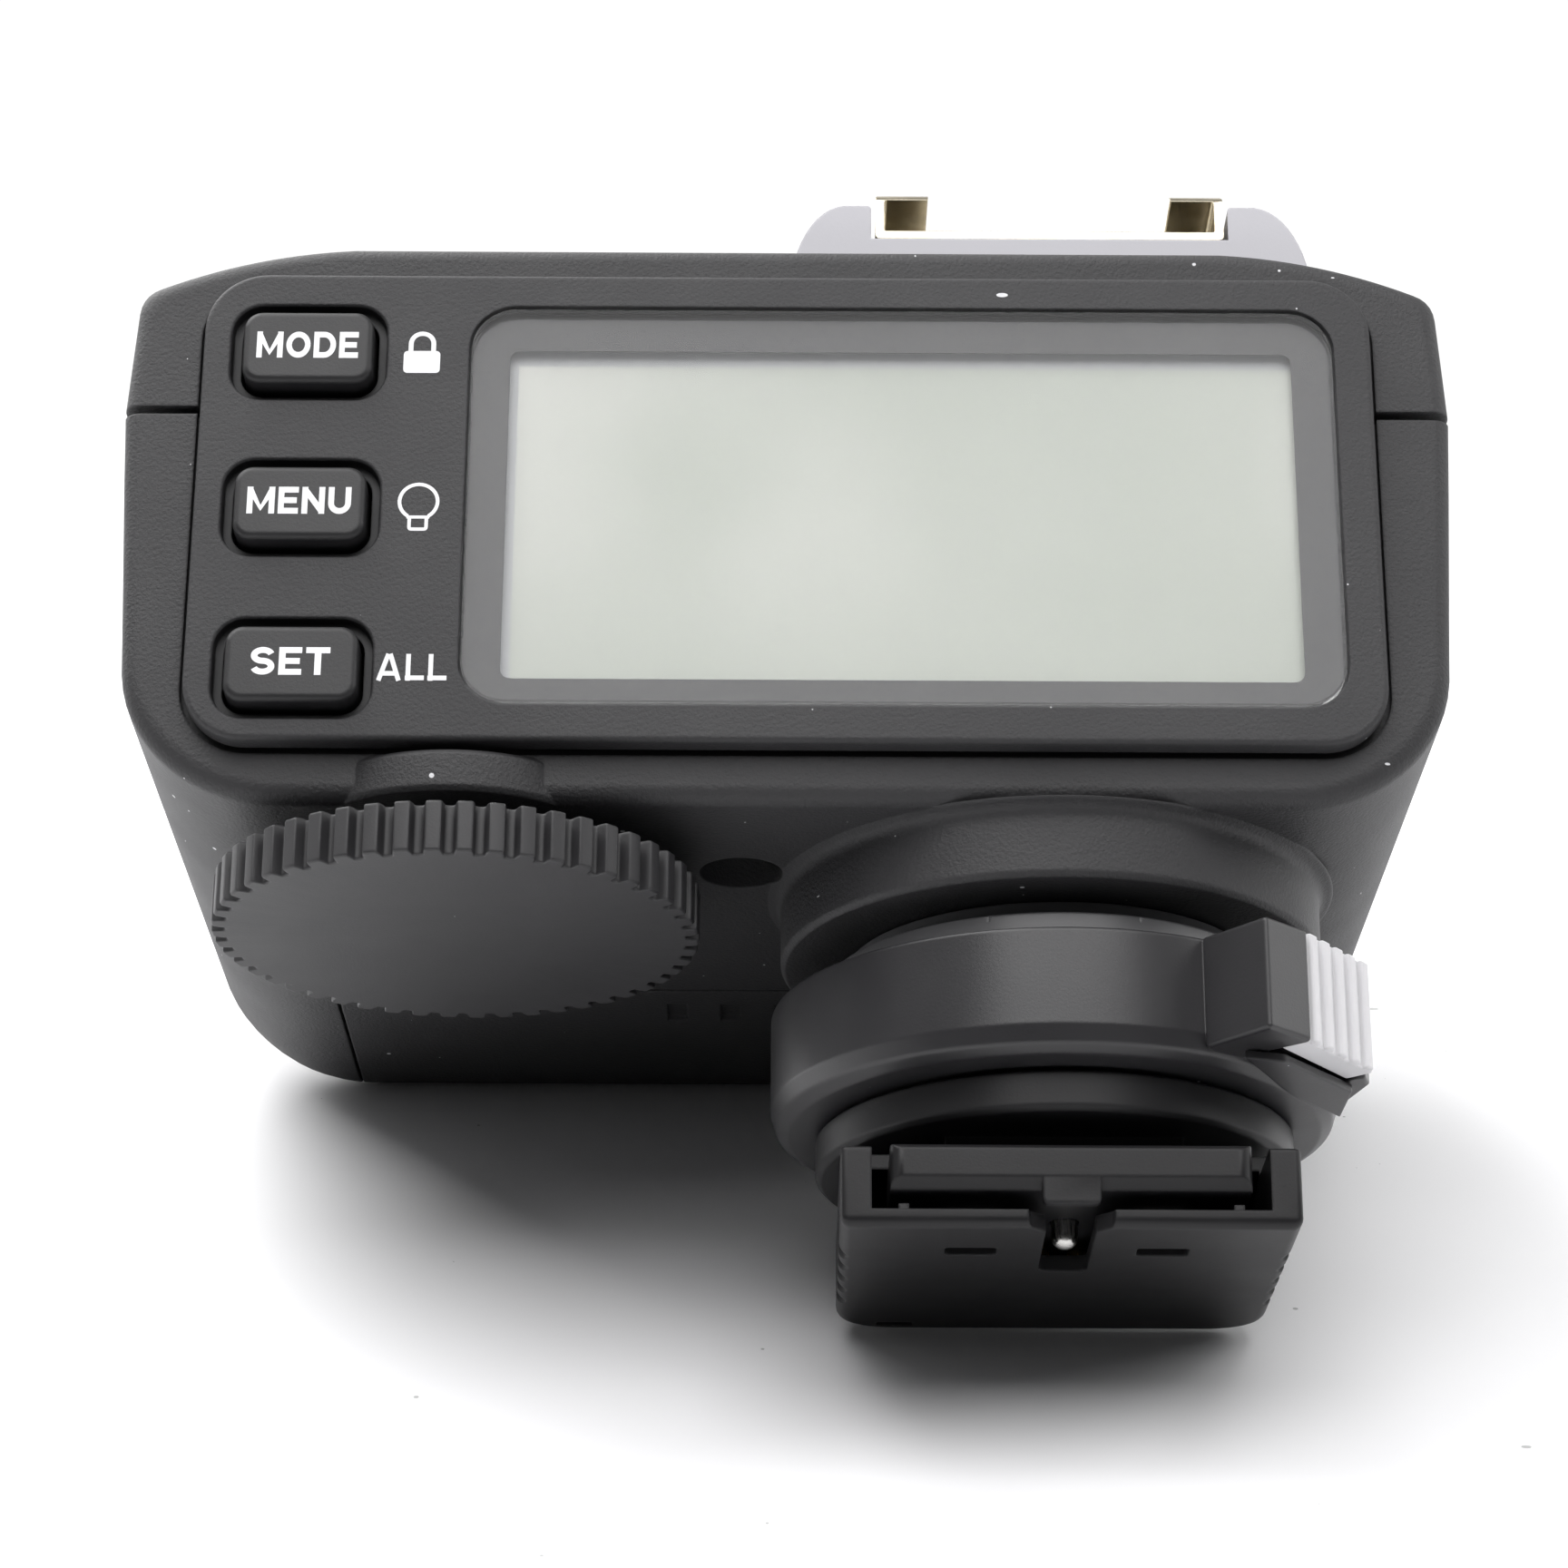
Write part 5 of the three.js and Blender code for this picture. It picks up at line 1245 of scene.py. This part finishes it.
# ---- foot: column stem, ring, release button, plate, pin and cap ----------------------------
def ring_body():
    """The ring's round wall, with its light lower chamfer."""
    wall = softened([(11.6, 8.75), (13.3, 8.6), (14.55, 8.72), (15.2, 9.15), (15.5, 10.1), (15.5, 15.4), (11.6, 15.4)],
                    [0.1, 0.0, 0.5, 0.5, 0.5, 0.22, 0.15], 5)
    return turned("ring_body", wall, (0, 0), sides=160, closed=True, shift=ORIGIN)


BUTTON_FROM = Vector((12.45, -14.95))
BUTTON_TO = Vector((16.45, -9.85))
BUTTON_THICK = 1.9


def at_button(obj):
    """Moves a shape drawn with X along the button's face and -Y outwards to its place on the ring."""
    way = BUTTON_TO - BUTTON_FROM
    turn = Matrix.Rotation(math.atan2(way.y, way.x), 4, "Z")
    obj.data.transform(Matrix.Translation((BUTTON_FROM.x * MM, BUTTON_FROM.y * MM, 0)) @ turn)
    return obj


class BuildFoot(bpy.types.Operator):
    """Stem, foot plate with its disc, and the lock pin"""

    bl_idname = "trigger.build_foot"
    bl_label = "Foot, stem and pin"

    def execute(self, context):
        looks = finishes()
        pin_y = (span("lock_pin")[0][1] + span("lock_pin")[1][1]) / 2
        stem = turned("foot_collar", softened(
            [(0, 8.4), (11.4, 8.4), (11.4, 15.6), (12.6, 15.6), (12.6, 17.3), (11.4, 17.3), (11.4, 18.3), (8, 18.3),
             (8, 25), (0, 25)], [0, 0.1, 0.1, 0.15, 0.2, 0.1, 0.1, 0.1, 0.2, 0], 3, False), (0, 0), sides=120,
            shift=ORIGIN)
        notches = [block("tool", x - 0.35, x + 0.35, -13, -11.9, 16.9, 18, ORIGIN) for x in (-4.3, 4.3)]
        stem = cut(stem, rod("tool", 1.3, 7, 16.3, (0, pin_y), shift=ORIGIN),
                   rod("tool", 4, 14, 30, (0, 0), shift=ORIGIN),
                   block("tool", -4.6, 4.6, -2.6, 3.4, 3, 11, ORIGIN), *notches)
        dress(stem, looks["collar"], "housing", ("foot_stem",))

        y0, y1, z0, z1 = -13.4, 5.1, 1.9, 4.25
        side = softened([(y0, z0 + 0.62), (y0 + 0.62, z0), (y1 - 0.8, z0), (y1, z0 + 0.8), (y1, z1), (y0 + 0.25, z1),
                         (y0, z1 - 0.25)], [0.2, 0.2, 0.3, 0.3, 0.2, 0.1, 0.1], 4)
        plate = prism("foot_plate", side, "x", -9.3, 9.3, ORIGIN)
        outline = softened([(-9.3, y0), (9.3, y0), (9.3, y1), (-9.3, y1)], [0.7, 0.7, 0.9, 0.9], 6)
        corners = prism("tool", outline, "z", 1, 5, ORIGIN)
        plate = keep(plate, corners)
        neck = block("tool", -6.25, 6.25, y0 + 5.0, y1 - 0.6, z1 - 0.2, 6.4, ORIGIN)
        disc = turned("tool", softened([(0, 6.2), (12.75, 6.2), (13.05, 6.5), (13.05, 8.25), (12.9, 8.4), (0, 8.4)],
                                       [0, 0.15, 0.15, 0.1, 0.1, 0], 4, False), (0, 0), sides=144, shift=ORIGIN)
        tab = pad("tool", (-1.5, 1.5, z0 - 0.8, z0 + 0.8), "y", y0 + 0.02, y0 + 0.7, 0.1, 0.1, 0.25, 3, ORIGIN)
        web = block("tool", -1.1, 1.1, y0 + 0.5, y0 + 0.9, z0 - 0.6, z0 + 1.0, ORIGIN)
        contacts = [(-3, -1.4), (-1, -1.4), (1, -1.4), (3, -1.4), (0, 2)]
        plate = join(plate, neck, disc, tab, web)
        plate = cut(plate, rod("tool", 0.78, 0, 12, (0, pin_y), shift=ORIGIN),
                    block("tool", -4.6, 4.6, -2.6, 3.4, 3, 11, ORIGIN),
                    *[rod("tool", 0.7, 1, 5, place, sides=24, shift=ORIGIN) for place in contacts])
        # The foot finish is darkened as painted shade.
        dress(plate, looks["foot"], "housing", ("foot_base",))

        tip, top = span("lock_pin")[0][2], span("lock_pin")[1][2]
        nose = [(0.7 * math.sin(QUARTER * k / 6), tip + 0.6 * (1 - math.cos(QUARTER * k / 6))) for k in range(7)]
        pin = turned("pin_body", nose + [(0.7, 9.1), (1.15, 9.1), (1.15, 9.9), (0.7, 9.9), (0.7, top), (0, top)],
                     (0, pin_y), sides=48, shift=ORIGIN)
        dress(pin, looks["steel"], "pin", ("lock_pin",))
        return {"FINISHED"}


class BuildRing(bpy.types.Operator):
    """Lock ring with its boss, and the ribbed release button"""

    bl_idname = "trigger.build_ring"
    bl_label = "Lock ring and release button"

    def execute(self, context):
        looks = finishes()
        low = 9.3
        wedge = bevelled(prism("tool", [(7.0, -13.83), (10, -17.2), (12.4, -15), (11, -12.2), (9, -11.6)], "z", low,
                               15.4, ORIGIN), 0.22)
        heel = bevelled(prism("tool", [(13.4, -6.2), (13.9, -8.6), (15.9, -9.1), (16.3, -7.8), (15.1, -3.4),
                                       (13.4, -3.2)], "z", low, 15.4, ORIGIN), 0.2)
        flange = bevelled(prism("tool", [(9, -14), (11.2, -13.4), (15.3, -8.4), (15.2, -4), (12, -8)], "z", 8.7, 9.2,
                                ORIGIN), 0.12, 2)
        length = (BUTTON_TO - BUTTON_FROM).length
        ring = join(ring_body(), wedge, heel, flange)
        room = at_button(block("tool", -0.15, length + 0.15, -1, BUTTON_THICK + 1.4, 9.25, 20, ORIGIN))
        post_room = at_button(block("tool", length / 2 - 1.9, length / 2 + 1.9, 1, 5.6, 10.4, 14.2, ORIGIN))
        ring = cut(ring, room, post_room, rod("tool", 11.6, 0, 20, (0, 0), sides=160, shift=ORIGIN))
        dress(ring, looks["smooth"], "ring", ("lock_ring",))

        ribs = sizes().button_ribs
        pitch = length / ribs
        slab = at_button(pad("release_cap", (0, length, 9.35, 15.4), "y", BUTTON_THICK, 0.3,
                             0.1, 0.1, 0.15, 3, ORIGIN))
        post = at_button(block("tool", length / 2 - 0.5, length / 2 + 0.5, 1.5, 3.4, 11.8, 12.8, ORIGIN))
        slab = join(slab, post)
        rib = at_button(pad("release_ribs", (pitch * 0.5 - 0.36, pitch * 0.5 + 0.36, 9.36, 15.39), "y", 0.45, 0.0, 0.0,
                            0.2, 0.12, 3, ORIGIN))
        way = (BUTTON_TO - BUTTON_FROM).normalized() * pitch
        rib = repeated(rib, ribs, looks["pale"], step=(way.x, way.y, 0.0))
        button = gathered("release_cap", slab, rib)
        dress(button, looks["pale"], "release", ("release_button",))
        return {"FINISHED"}


class BuildCap(bpy.types.Operator):
    """Slide-on cap over the foot, with its lips, notch, slots and finger grooves"""

    bl_idname = "trigger.build_cap"
    bl_label = "Foot cap"

    def execute(self, context):
        looks = finishes()
        lo, hi = span("foot_cap")
        half, rear, front, top = hi[0], lo[1], hi[1], 4.25
        floor, wall = 0.9, 1.6
        inner = half - wall
        plan = [(-half, rear), (half, rear), (half, front), (-half, front)]
        rings = []
        for depth, inset in edge_stations(0.0, top, 0.55, 0.2, 5):
            outline = softened([(math.copysign(half - inset, x), y + inset if y < 0 else y - inset) for x, y in plan],
                               [0.35, 0.35, 3.0, 3.0], 10)
            rings.append([(x, y, depth) for x, y in outline])
        body = loft("cap_shell", rings, ORIGIN)
        body = cut(body, block("tool", -inner, inner, rear - 1, front - 1.8, floor, 8, ORIGIN))
        for side in (-1, 1):
            a, b = sorted((side * inner, side * (inner + 1)))
            riser = block("tool", a, b, rear + 5, front - 1.2, top - 0.5, 5.3, ORIGIN)
            a, b = sorted((side * 7, side * (inner + 0.5)))
            body = join(body, riser, block("tool", a, b, rear + 5, front - 1.2, 4.5, 5.3, ORIGIN))
        notch_front = 10.6 - FOOT_Y
        tools = [pad("tool", (-1.3, 1.3, rear - 4, notch_front), "z", -1, 2, r=0.6, steps=6, shift=ORIGIN)]
        mouth = softened([(-2.6, rear - 1), (2.6, rear - 1), (2.1, rear + 0.35), (1.3, rear + 1.1), (-1.3, rear + 1.1),
                          (-2.1, rear + 0.35)], [0, 0, 0.3, 0.3, 0.3, 0.3], 3)
        tools.append(prism("tool", mouth, "z", -1, 2, ORIGIN))
        for x in (-5, 5):
            tools.append(pad("tool", (x - 1.35, x + 1.35, 6.1 - FOOT_Y, 7.5 - FOOT_Y), "z", -1, 2, r=0.2, steps=3,
                             shift=ORIGIN))
        grips = sizes().cap_grips
        for side in (-1, 1):
            groove = rod("tool", 0.78, -1, 3.4, (side * (half + 0.3), rear + 6), edge=0.3, sides=24, shift=ORIGIN)
            tools.append(repeated(groove, grips, looks["smooth"], step=(0, 2.2, 0)))
        tools.append(pad("tool", (-9.6, -7.6, front - 1.6, front - 0.9), "z", -1, 0.35, r=0.2, steps=3, shift=ORIGIN))
        body = cut(body, *tools)
        bumps = [pad("cap_bumps", (x - 0.28, x + 0.28, floor - 0.1, floor + 0.35), "y", rear + 0.2, rear + 0.9,
                     0.05, 0.05, 0.05, 2, ORIGIN) for x in (-8.6, 8.6)]
        body = gathered("cap_shell", body, *bumps)
        # The cap's finish is darkened as painted shade.
        dress(body, looks["foot"], "cap", ("foot_cap",))
        return {"FINISHED"}


# ---- batteries, boards and springs ----------------------------------------------------------
CARRIED = {
    "lcd_module": "screen", "lcd_backlight": "light", "key_membrane": "rubber", "display_board": "board",
    "main_board": "board", "radio_module": "steel", "buzzer": "dark", "dial_encoder": "steel",
    "switch_board": "board", "beam_lamp": "light", "battery_tray": "dark", "bridge_contact": "steel",
    "negative_contact": "steel", "positive_contact": "steel", "door_hinge_pin": "steel",
    "shoe_data_contacts": "gold", "foot_contacts": "gold", "lock_pin_spring": "steel", "release_spring": "steel",
}


class BuildInside(bpy.types.Operator):
    """Battery cells, the housing screw, and the finish of every carried-over internal piece"""

    bl_idname = "trigger.build_inside"
    bl_label = "Cells, boards and springs"

    def execute(self, context):
        looks = finishes()
        for node, side in (("battery_cell_front", 1), ("battery_cell_back", -1)):
            lo, hi = drawn(node)
            place = ((lo[1] + hi[1]) / 2, (lo[2] + hi[2]) / 2)
            a, b = (lo[0], hi[0]) if side > 0 else (hi[0], lo[0])
            r = (hi[1] - lo[1]) / 2 - 0.01
            sleeve = turned(f"{node}_sleeve", [
                (0, a + side * 0.3), (r - 0.7, a + side * 0.3), (r - 0.1, a), (r, a + side * 0.3),
                (r, b - side * 1.9), (r - 0.3, b - side * 1.4), (r - 2.2, b - side * 1.4),
                (r - 2.2, b - side * 2.0), (0, b - side * 2.0)], place, "x", 80)
            dress(sleeve, looks["wrap"], "housing", (node,))
            nub = turned(f"{node}_terminal", [
                (0, b - side * 2.0), (4.8, b - side * 2.0), (4.8, b - side * 1.5), (2.8, b - side * 1.35),
                (2.7, b - side * 0.2), (2.4, b - side * 0.02), (0, b - side * 0.02)], place, "x", 48)
            dress(nub, looks["steel"], "housing")
        x, y = SCREW_X, SCREW_Y
        head = turned("housing_screw", [
            (0, 25.2), (1.6, 25.2), (1.9, 25.5), (1.9, 26.45), (0.9, 26.45), (0.9, 39), (0, 39)], (x, y), sides=40)
        head = cut(head, block("tool", x - 1.1, x + 1.1, y - 0.2, y + 0.2, 24, 25.9),
                   block("tool", x - 0.2, x + 0.2, y - 1.1, y + 1.1, 24, 25.9))
        dress(head, looks["steel"], "housing", ("shell_screw",))
        for node, look in CARRIED.items():
            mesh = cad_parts[node].data
            mesh.materials.clear()
            mesh.materials.append(looks[look])
        return {"FINISHED"}


# ---- stage ----------------------------------------------------------------------------------
CAMERA_TILT = math.radians(22.3)
CAMERA_ROLL = math.radians(-0.3)
CAMERA_PLACE = Vector((-14.855, -216.074, -59.0)) * MM
FLOOR_RISE = math.radians(40.7)
FLOOR_POINT = Vector((0.0, 7.8, 0.0)) * MM


def floor_material():
    """Pale table, seen only from above, that fades into the background."""
    made, n, place, shader = material("pale_table")
    base = tuple(bpy.context.scene.trigger_stage.floor)
    cloud = n.add("ShaderNodeTexNoise", Vector=place, Scale=30.0, Detail=4.0)
    specks = n.add("ShaderNodeGroup", {"node_tree": shared("dust")}, Vector=place, Share=0.02, Size=0.08)
    tint = n.mix(n.remap(cloud.outputs[0], 0.3, 0.7, 0.0, 1.0), lighter(base, 0.97), colour(base))
    n.feed(shader, "Base Color", n.mix(specks.outputs["Mask"], tint, (0.5, 0.5, 0.5, 1.0)))
    shader.inputs["Roughness"].default_value = 0.55
    shader.inputs["Specular IOR Level"].default_value = 0.3
    clear = n.add("ShaderNodeBsdfTransparent")
    back = n.add("ShaderNodeNewGeometry")
    far = n.add("ShaderNodeVectorMath", {"operation": "LENGTH"})
    n.feed(far, "0", place)
    ray = n.add("ShaderNodeLightPath")
    fade = n.math("MULTIPLY", n.remap(far.outputs["Value"], 0.07, 0.26, 0.0, 1.0), ray.outputs["Is Camera Ray"])
    hide = n.math("MAXIMUM", fade, back.outputs["Backfacing"], clamp=True)
    blend = n.add("ShaderNodeMixShader")
    n.feed(blend, "0", hide)
    n.feed(blend, "1", shader.outputs[0])
    n.feed(blend, "2", clear.outputs[0])
    n.feed(next(x for x in made.node_tree.nodes if x.type == "OUTPUT_MATERIAL"), "Surface", blend.outputs[0])
    return made


def soft_box(name, place, aim, width, height, radiance, tint=(1.0, 1.0, 1.0)):
    lamp = bpy.data.lights.new(name, "AREA")
    lamp.shape, lamp.size, lamp.size_y, lamp.color = "RECTANGLE", width, height, tint
    lamp.energy = radiance * math.pi * width * height
    obj = bpy.data.objects.new(name, lamp)
    obj.location = place
    obj.rotation_euler = (Vector(aim) - Vector(place)).to_track_quat("-Z", "Y").to_euler()
    bpy.context.scene.collection.objects.link(obj)
    return obj


class BuildStage(bpy.types.Operator):
    """Camera, pale table, white background and soft studio light"""

    bl_idname = "trigger.build_stage"
    bl_label = "Camera, table and light"

    def execute(self, context):
        scene, stage = context.scene, context.scene.trigger_stage
        data = bpy.data.cameras.new("camera")
        data.lens, data.sensor_width = stage.lens, 36.0
        data.clip_start, data.clip_end = 0.01, 20.0
        camera = bpy.data.objects.new("camera", data)
        forward = Vector((0.0, math.cos(CAMERA_TILT), math.sin(CAMERA_TILT)))
        upright = Vector((0.0, -math.sin(CAMERA_TILT), math.cos(CAMERA_TILT)))
        c, s = math.cos(CAMERA_ROLL), math.sin(CAMERA_ROLL)
        right = Vector((c, 0, 0)) - upright * s
        up = Vector((s, 0, 0)) + upright * c
        frame_axes = Matrix((right, up, -forward)).transposed().to_4x4()
        camera.matrix_world = Matrix.Translation(CAMERA_PLACE) @ frame_axes
        scene.collection.objects.link(camera)
        scene.camera = camera

        normal = Vector((0.0, -math.sin(FLOOR_RISE), math.cos(FLOOR_RISE)))
        along = Vector((0.0, math.cos(FLOOR_RISE), math.sin(FLOOR_RISE)))
        reach, steps = 0.9, 36
        points, faces = [], []
        for i in range(steps + 1):
            for j in range(steps + 1):
                u, v = (i / steps * 2 - 1) * reach, (j / steps * 2 - 1) * reach
                points.append((FLOOR_POINT + Vector((1, 0, 0)) * u + along * v) / MM)
        for i in range(steps):
            for j in range(steps):
                a = i * (steps + 1) + j
                faces.append((a, a + steps + 1, a + steps + 2, a + 1))
        table = solid("table", points, faces, ORIGIN)
        if table.data.polygons[0].normal.dot(normal) < 0:
            table.data.flip_normals()
        table.data.materials.append(floor_material())

        aim = Vector((0.0, 0.0, 0.035))
        toward = (Vector((0.0, -math.cos(CAMERA_TILT), math.sin(CAMERA_TILT))) * 0.8 + normal * 0.6).normalized()
        soft_box("key_light", aim + toward * 0.6, aim, 0.62, 0.5, stage.key_light, (1.0, 0.995, 1.0))
        soft_box("side_light", aim + Vector((0.55, -0.12, 0.3)), aim, 0.45, 0.35, 2.4)
        behind = (normal * 0.9 + along * 0.7 - Vector((0.7, 0, 0))).normalized()
        soft_box("back_light", aim + behind * 0.6, aim, 0.7, 0.5, 5.0)

        world = bpy.data.worlds.new("studio")
        scene.world = world
        world.use_nodes = True
        n = Nodes(world.node_tree)
        world.node_tree.nodes.clear()
        ray = n.add("ShaderNodeLightPath")
        way = n.add("ShaderNodeTexCoord").outputs["Generated"]
        parts = n.add("ShaderNodeSeparateXYZ", Vector=way)
        ambient = n.remap(parts.outputs["Y"], -0.6, 0.7, 0.08, 1.25)
        lit = n.add("ShaderNodeBackground", Color=(1.0, 1.0, 1.0, 1.0), Strength=ambient)
        seen = n.add("ShaderNodeBackground", Color=(1.0, 1.0, 1.0, 1.0), Strength=1.05)
        blend = n.add("ShaderNodeMixShader")
        n.feed(blend, "0", ray.outputs["Is Camera Ray"])
        n.feed(blend, "1", lit.outputs[0])
        n.feed(blend, "2", seen.outputs[0])
        n.feed(n.add("ShaderNodeOutputWorld"), "Surface", blend.outputs[0])
        scene.view_settings.view_transform = "Standard"
        return {"FINISHED"}


# ---- add-on ---------------------------------------------------------------------------------
BUILD_ORDER = (BuildShells, BuildPanel, BuildFaceKeys, BuildDial, BuildControls, BuildShoe, BuildFoot, BuildRing,
               BuildCap, BuildInside, BuildStage)


class TriggerPanel(bpy.types.Panel):
    """Sidebar list of the trigger's pieces"""

    bl_idname = "VIEW3D_PT_flash_trigger"
    bl_label = "Flash trigger"
    bl_space_type = "VIEW_3D"
    bl_region_type = "UI"
    bl_category = "Flash trigger"

    def draw(self, context):
        for step in BUILD_ORDER:
            self.layout.operator(step.bl_idname)
        for group_name in ("trigger_sizes", "trigger_finish", "trigger_stage"):
            settings = getattr(context.scene, group_name)
            for name in settings.__annotations__:
                self.layout.prop(settings, name)


CLASSES = (TriggerFinish, TriggerSizes, TriggerStage, *BUILD_ORDER, TriggerPanel)


def register():
    for item in CLASSES:
        bpy.utils.register_class(item)
    bpy.types.Scene.trigger_finish = bpy.props.PointerProperty(type=TriggerFinish)
    bpy.types.Scene.trigger_sizes = bpy.props.PointerProperty(type=TriggerSizes)
    bpy.types.Scene.trigger_stage = bpy.props.PointerProperty(type=TriggerStage)


def unregister():
    for name in ("trigger_stage", "trigger_sizes", "trigger_finish"):
        delattr(bpy.types.Scene, name)
    for item in reversed(CLASSES):
        bpy.utils.unregister_class(item)


def main():
    register()
    for step in BUILD_ORDER:
        family, action = step.bl_idname.split(".")
        getattr(getattr(bpy.ops, family), action)()


if __name__ == "__main__":
    main()
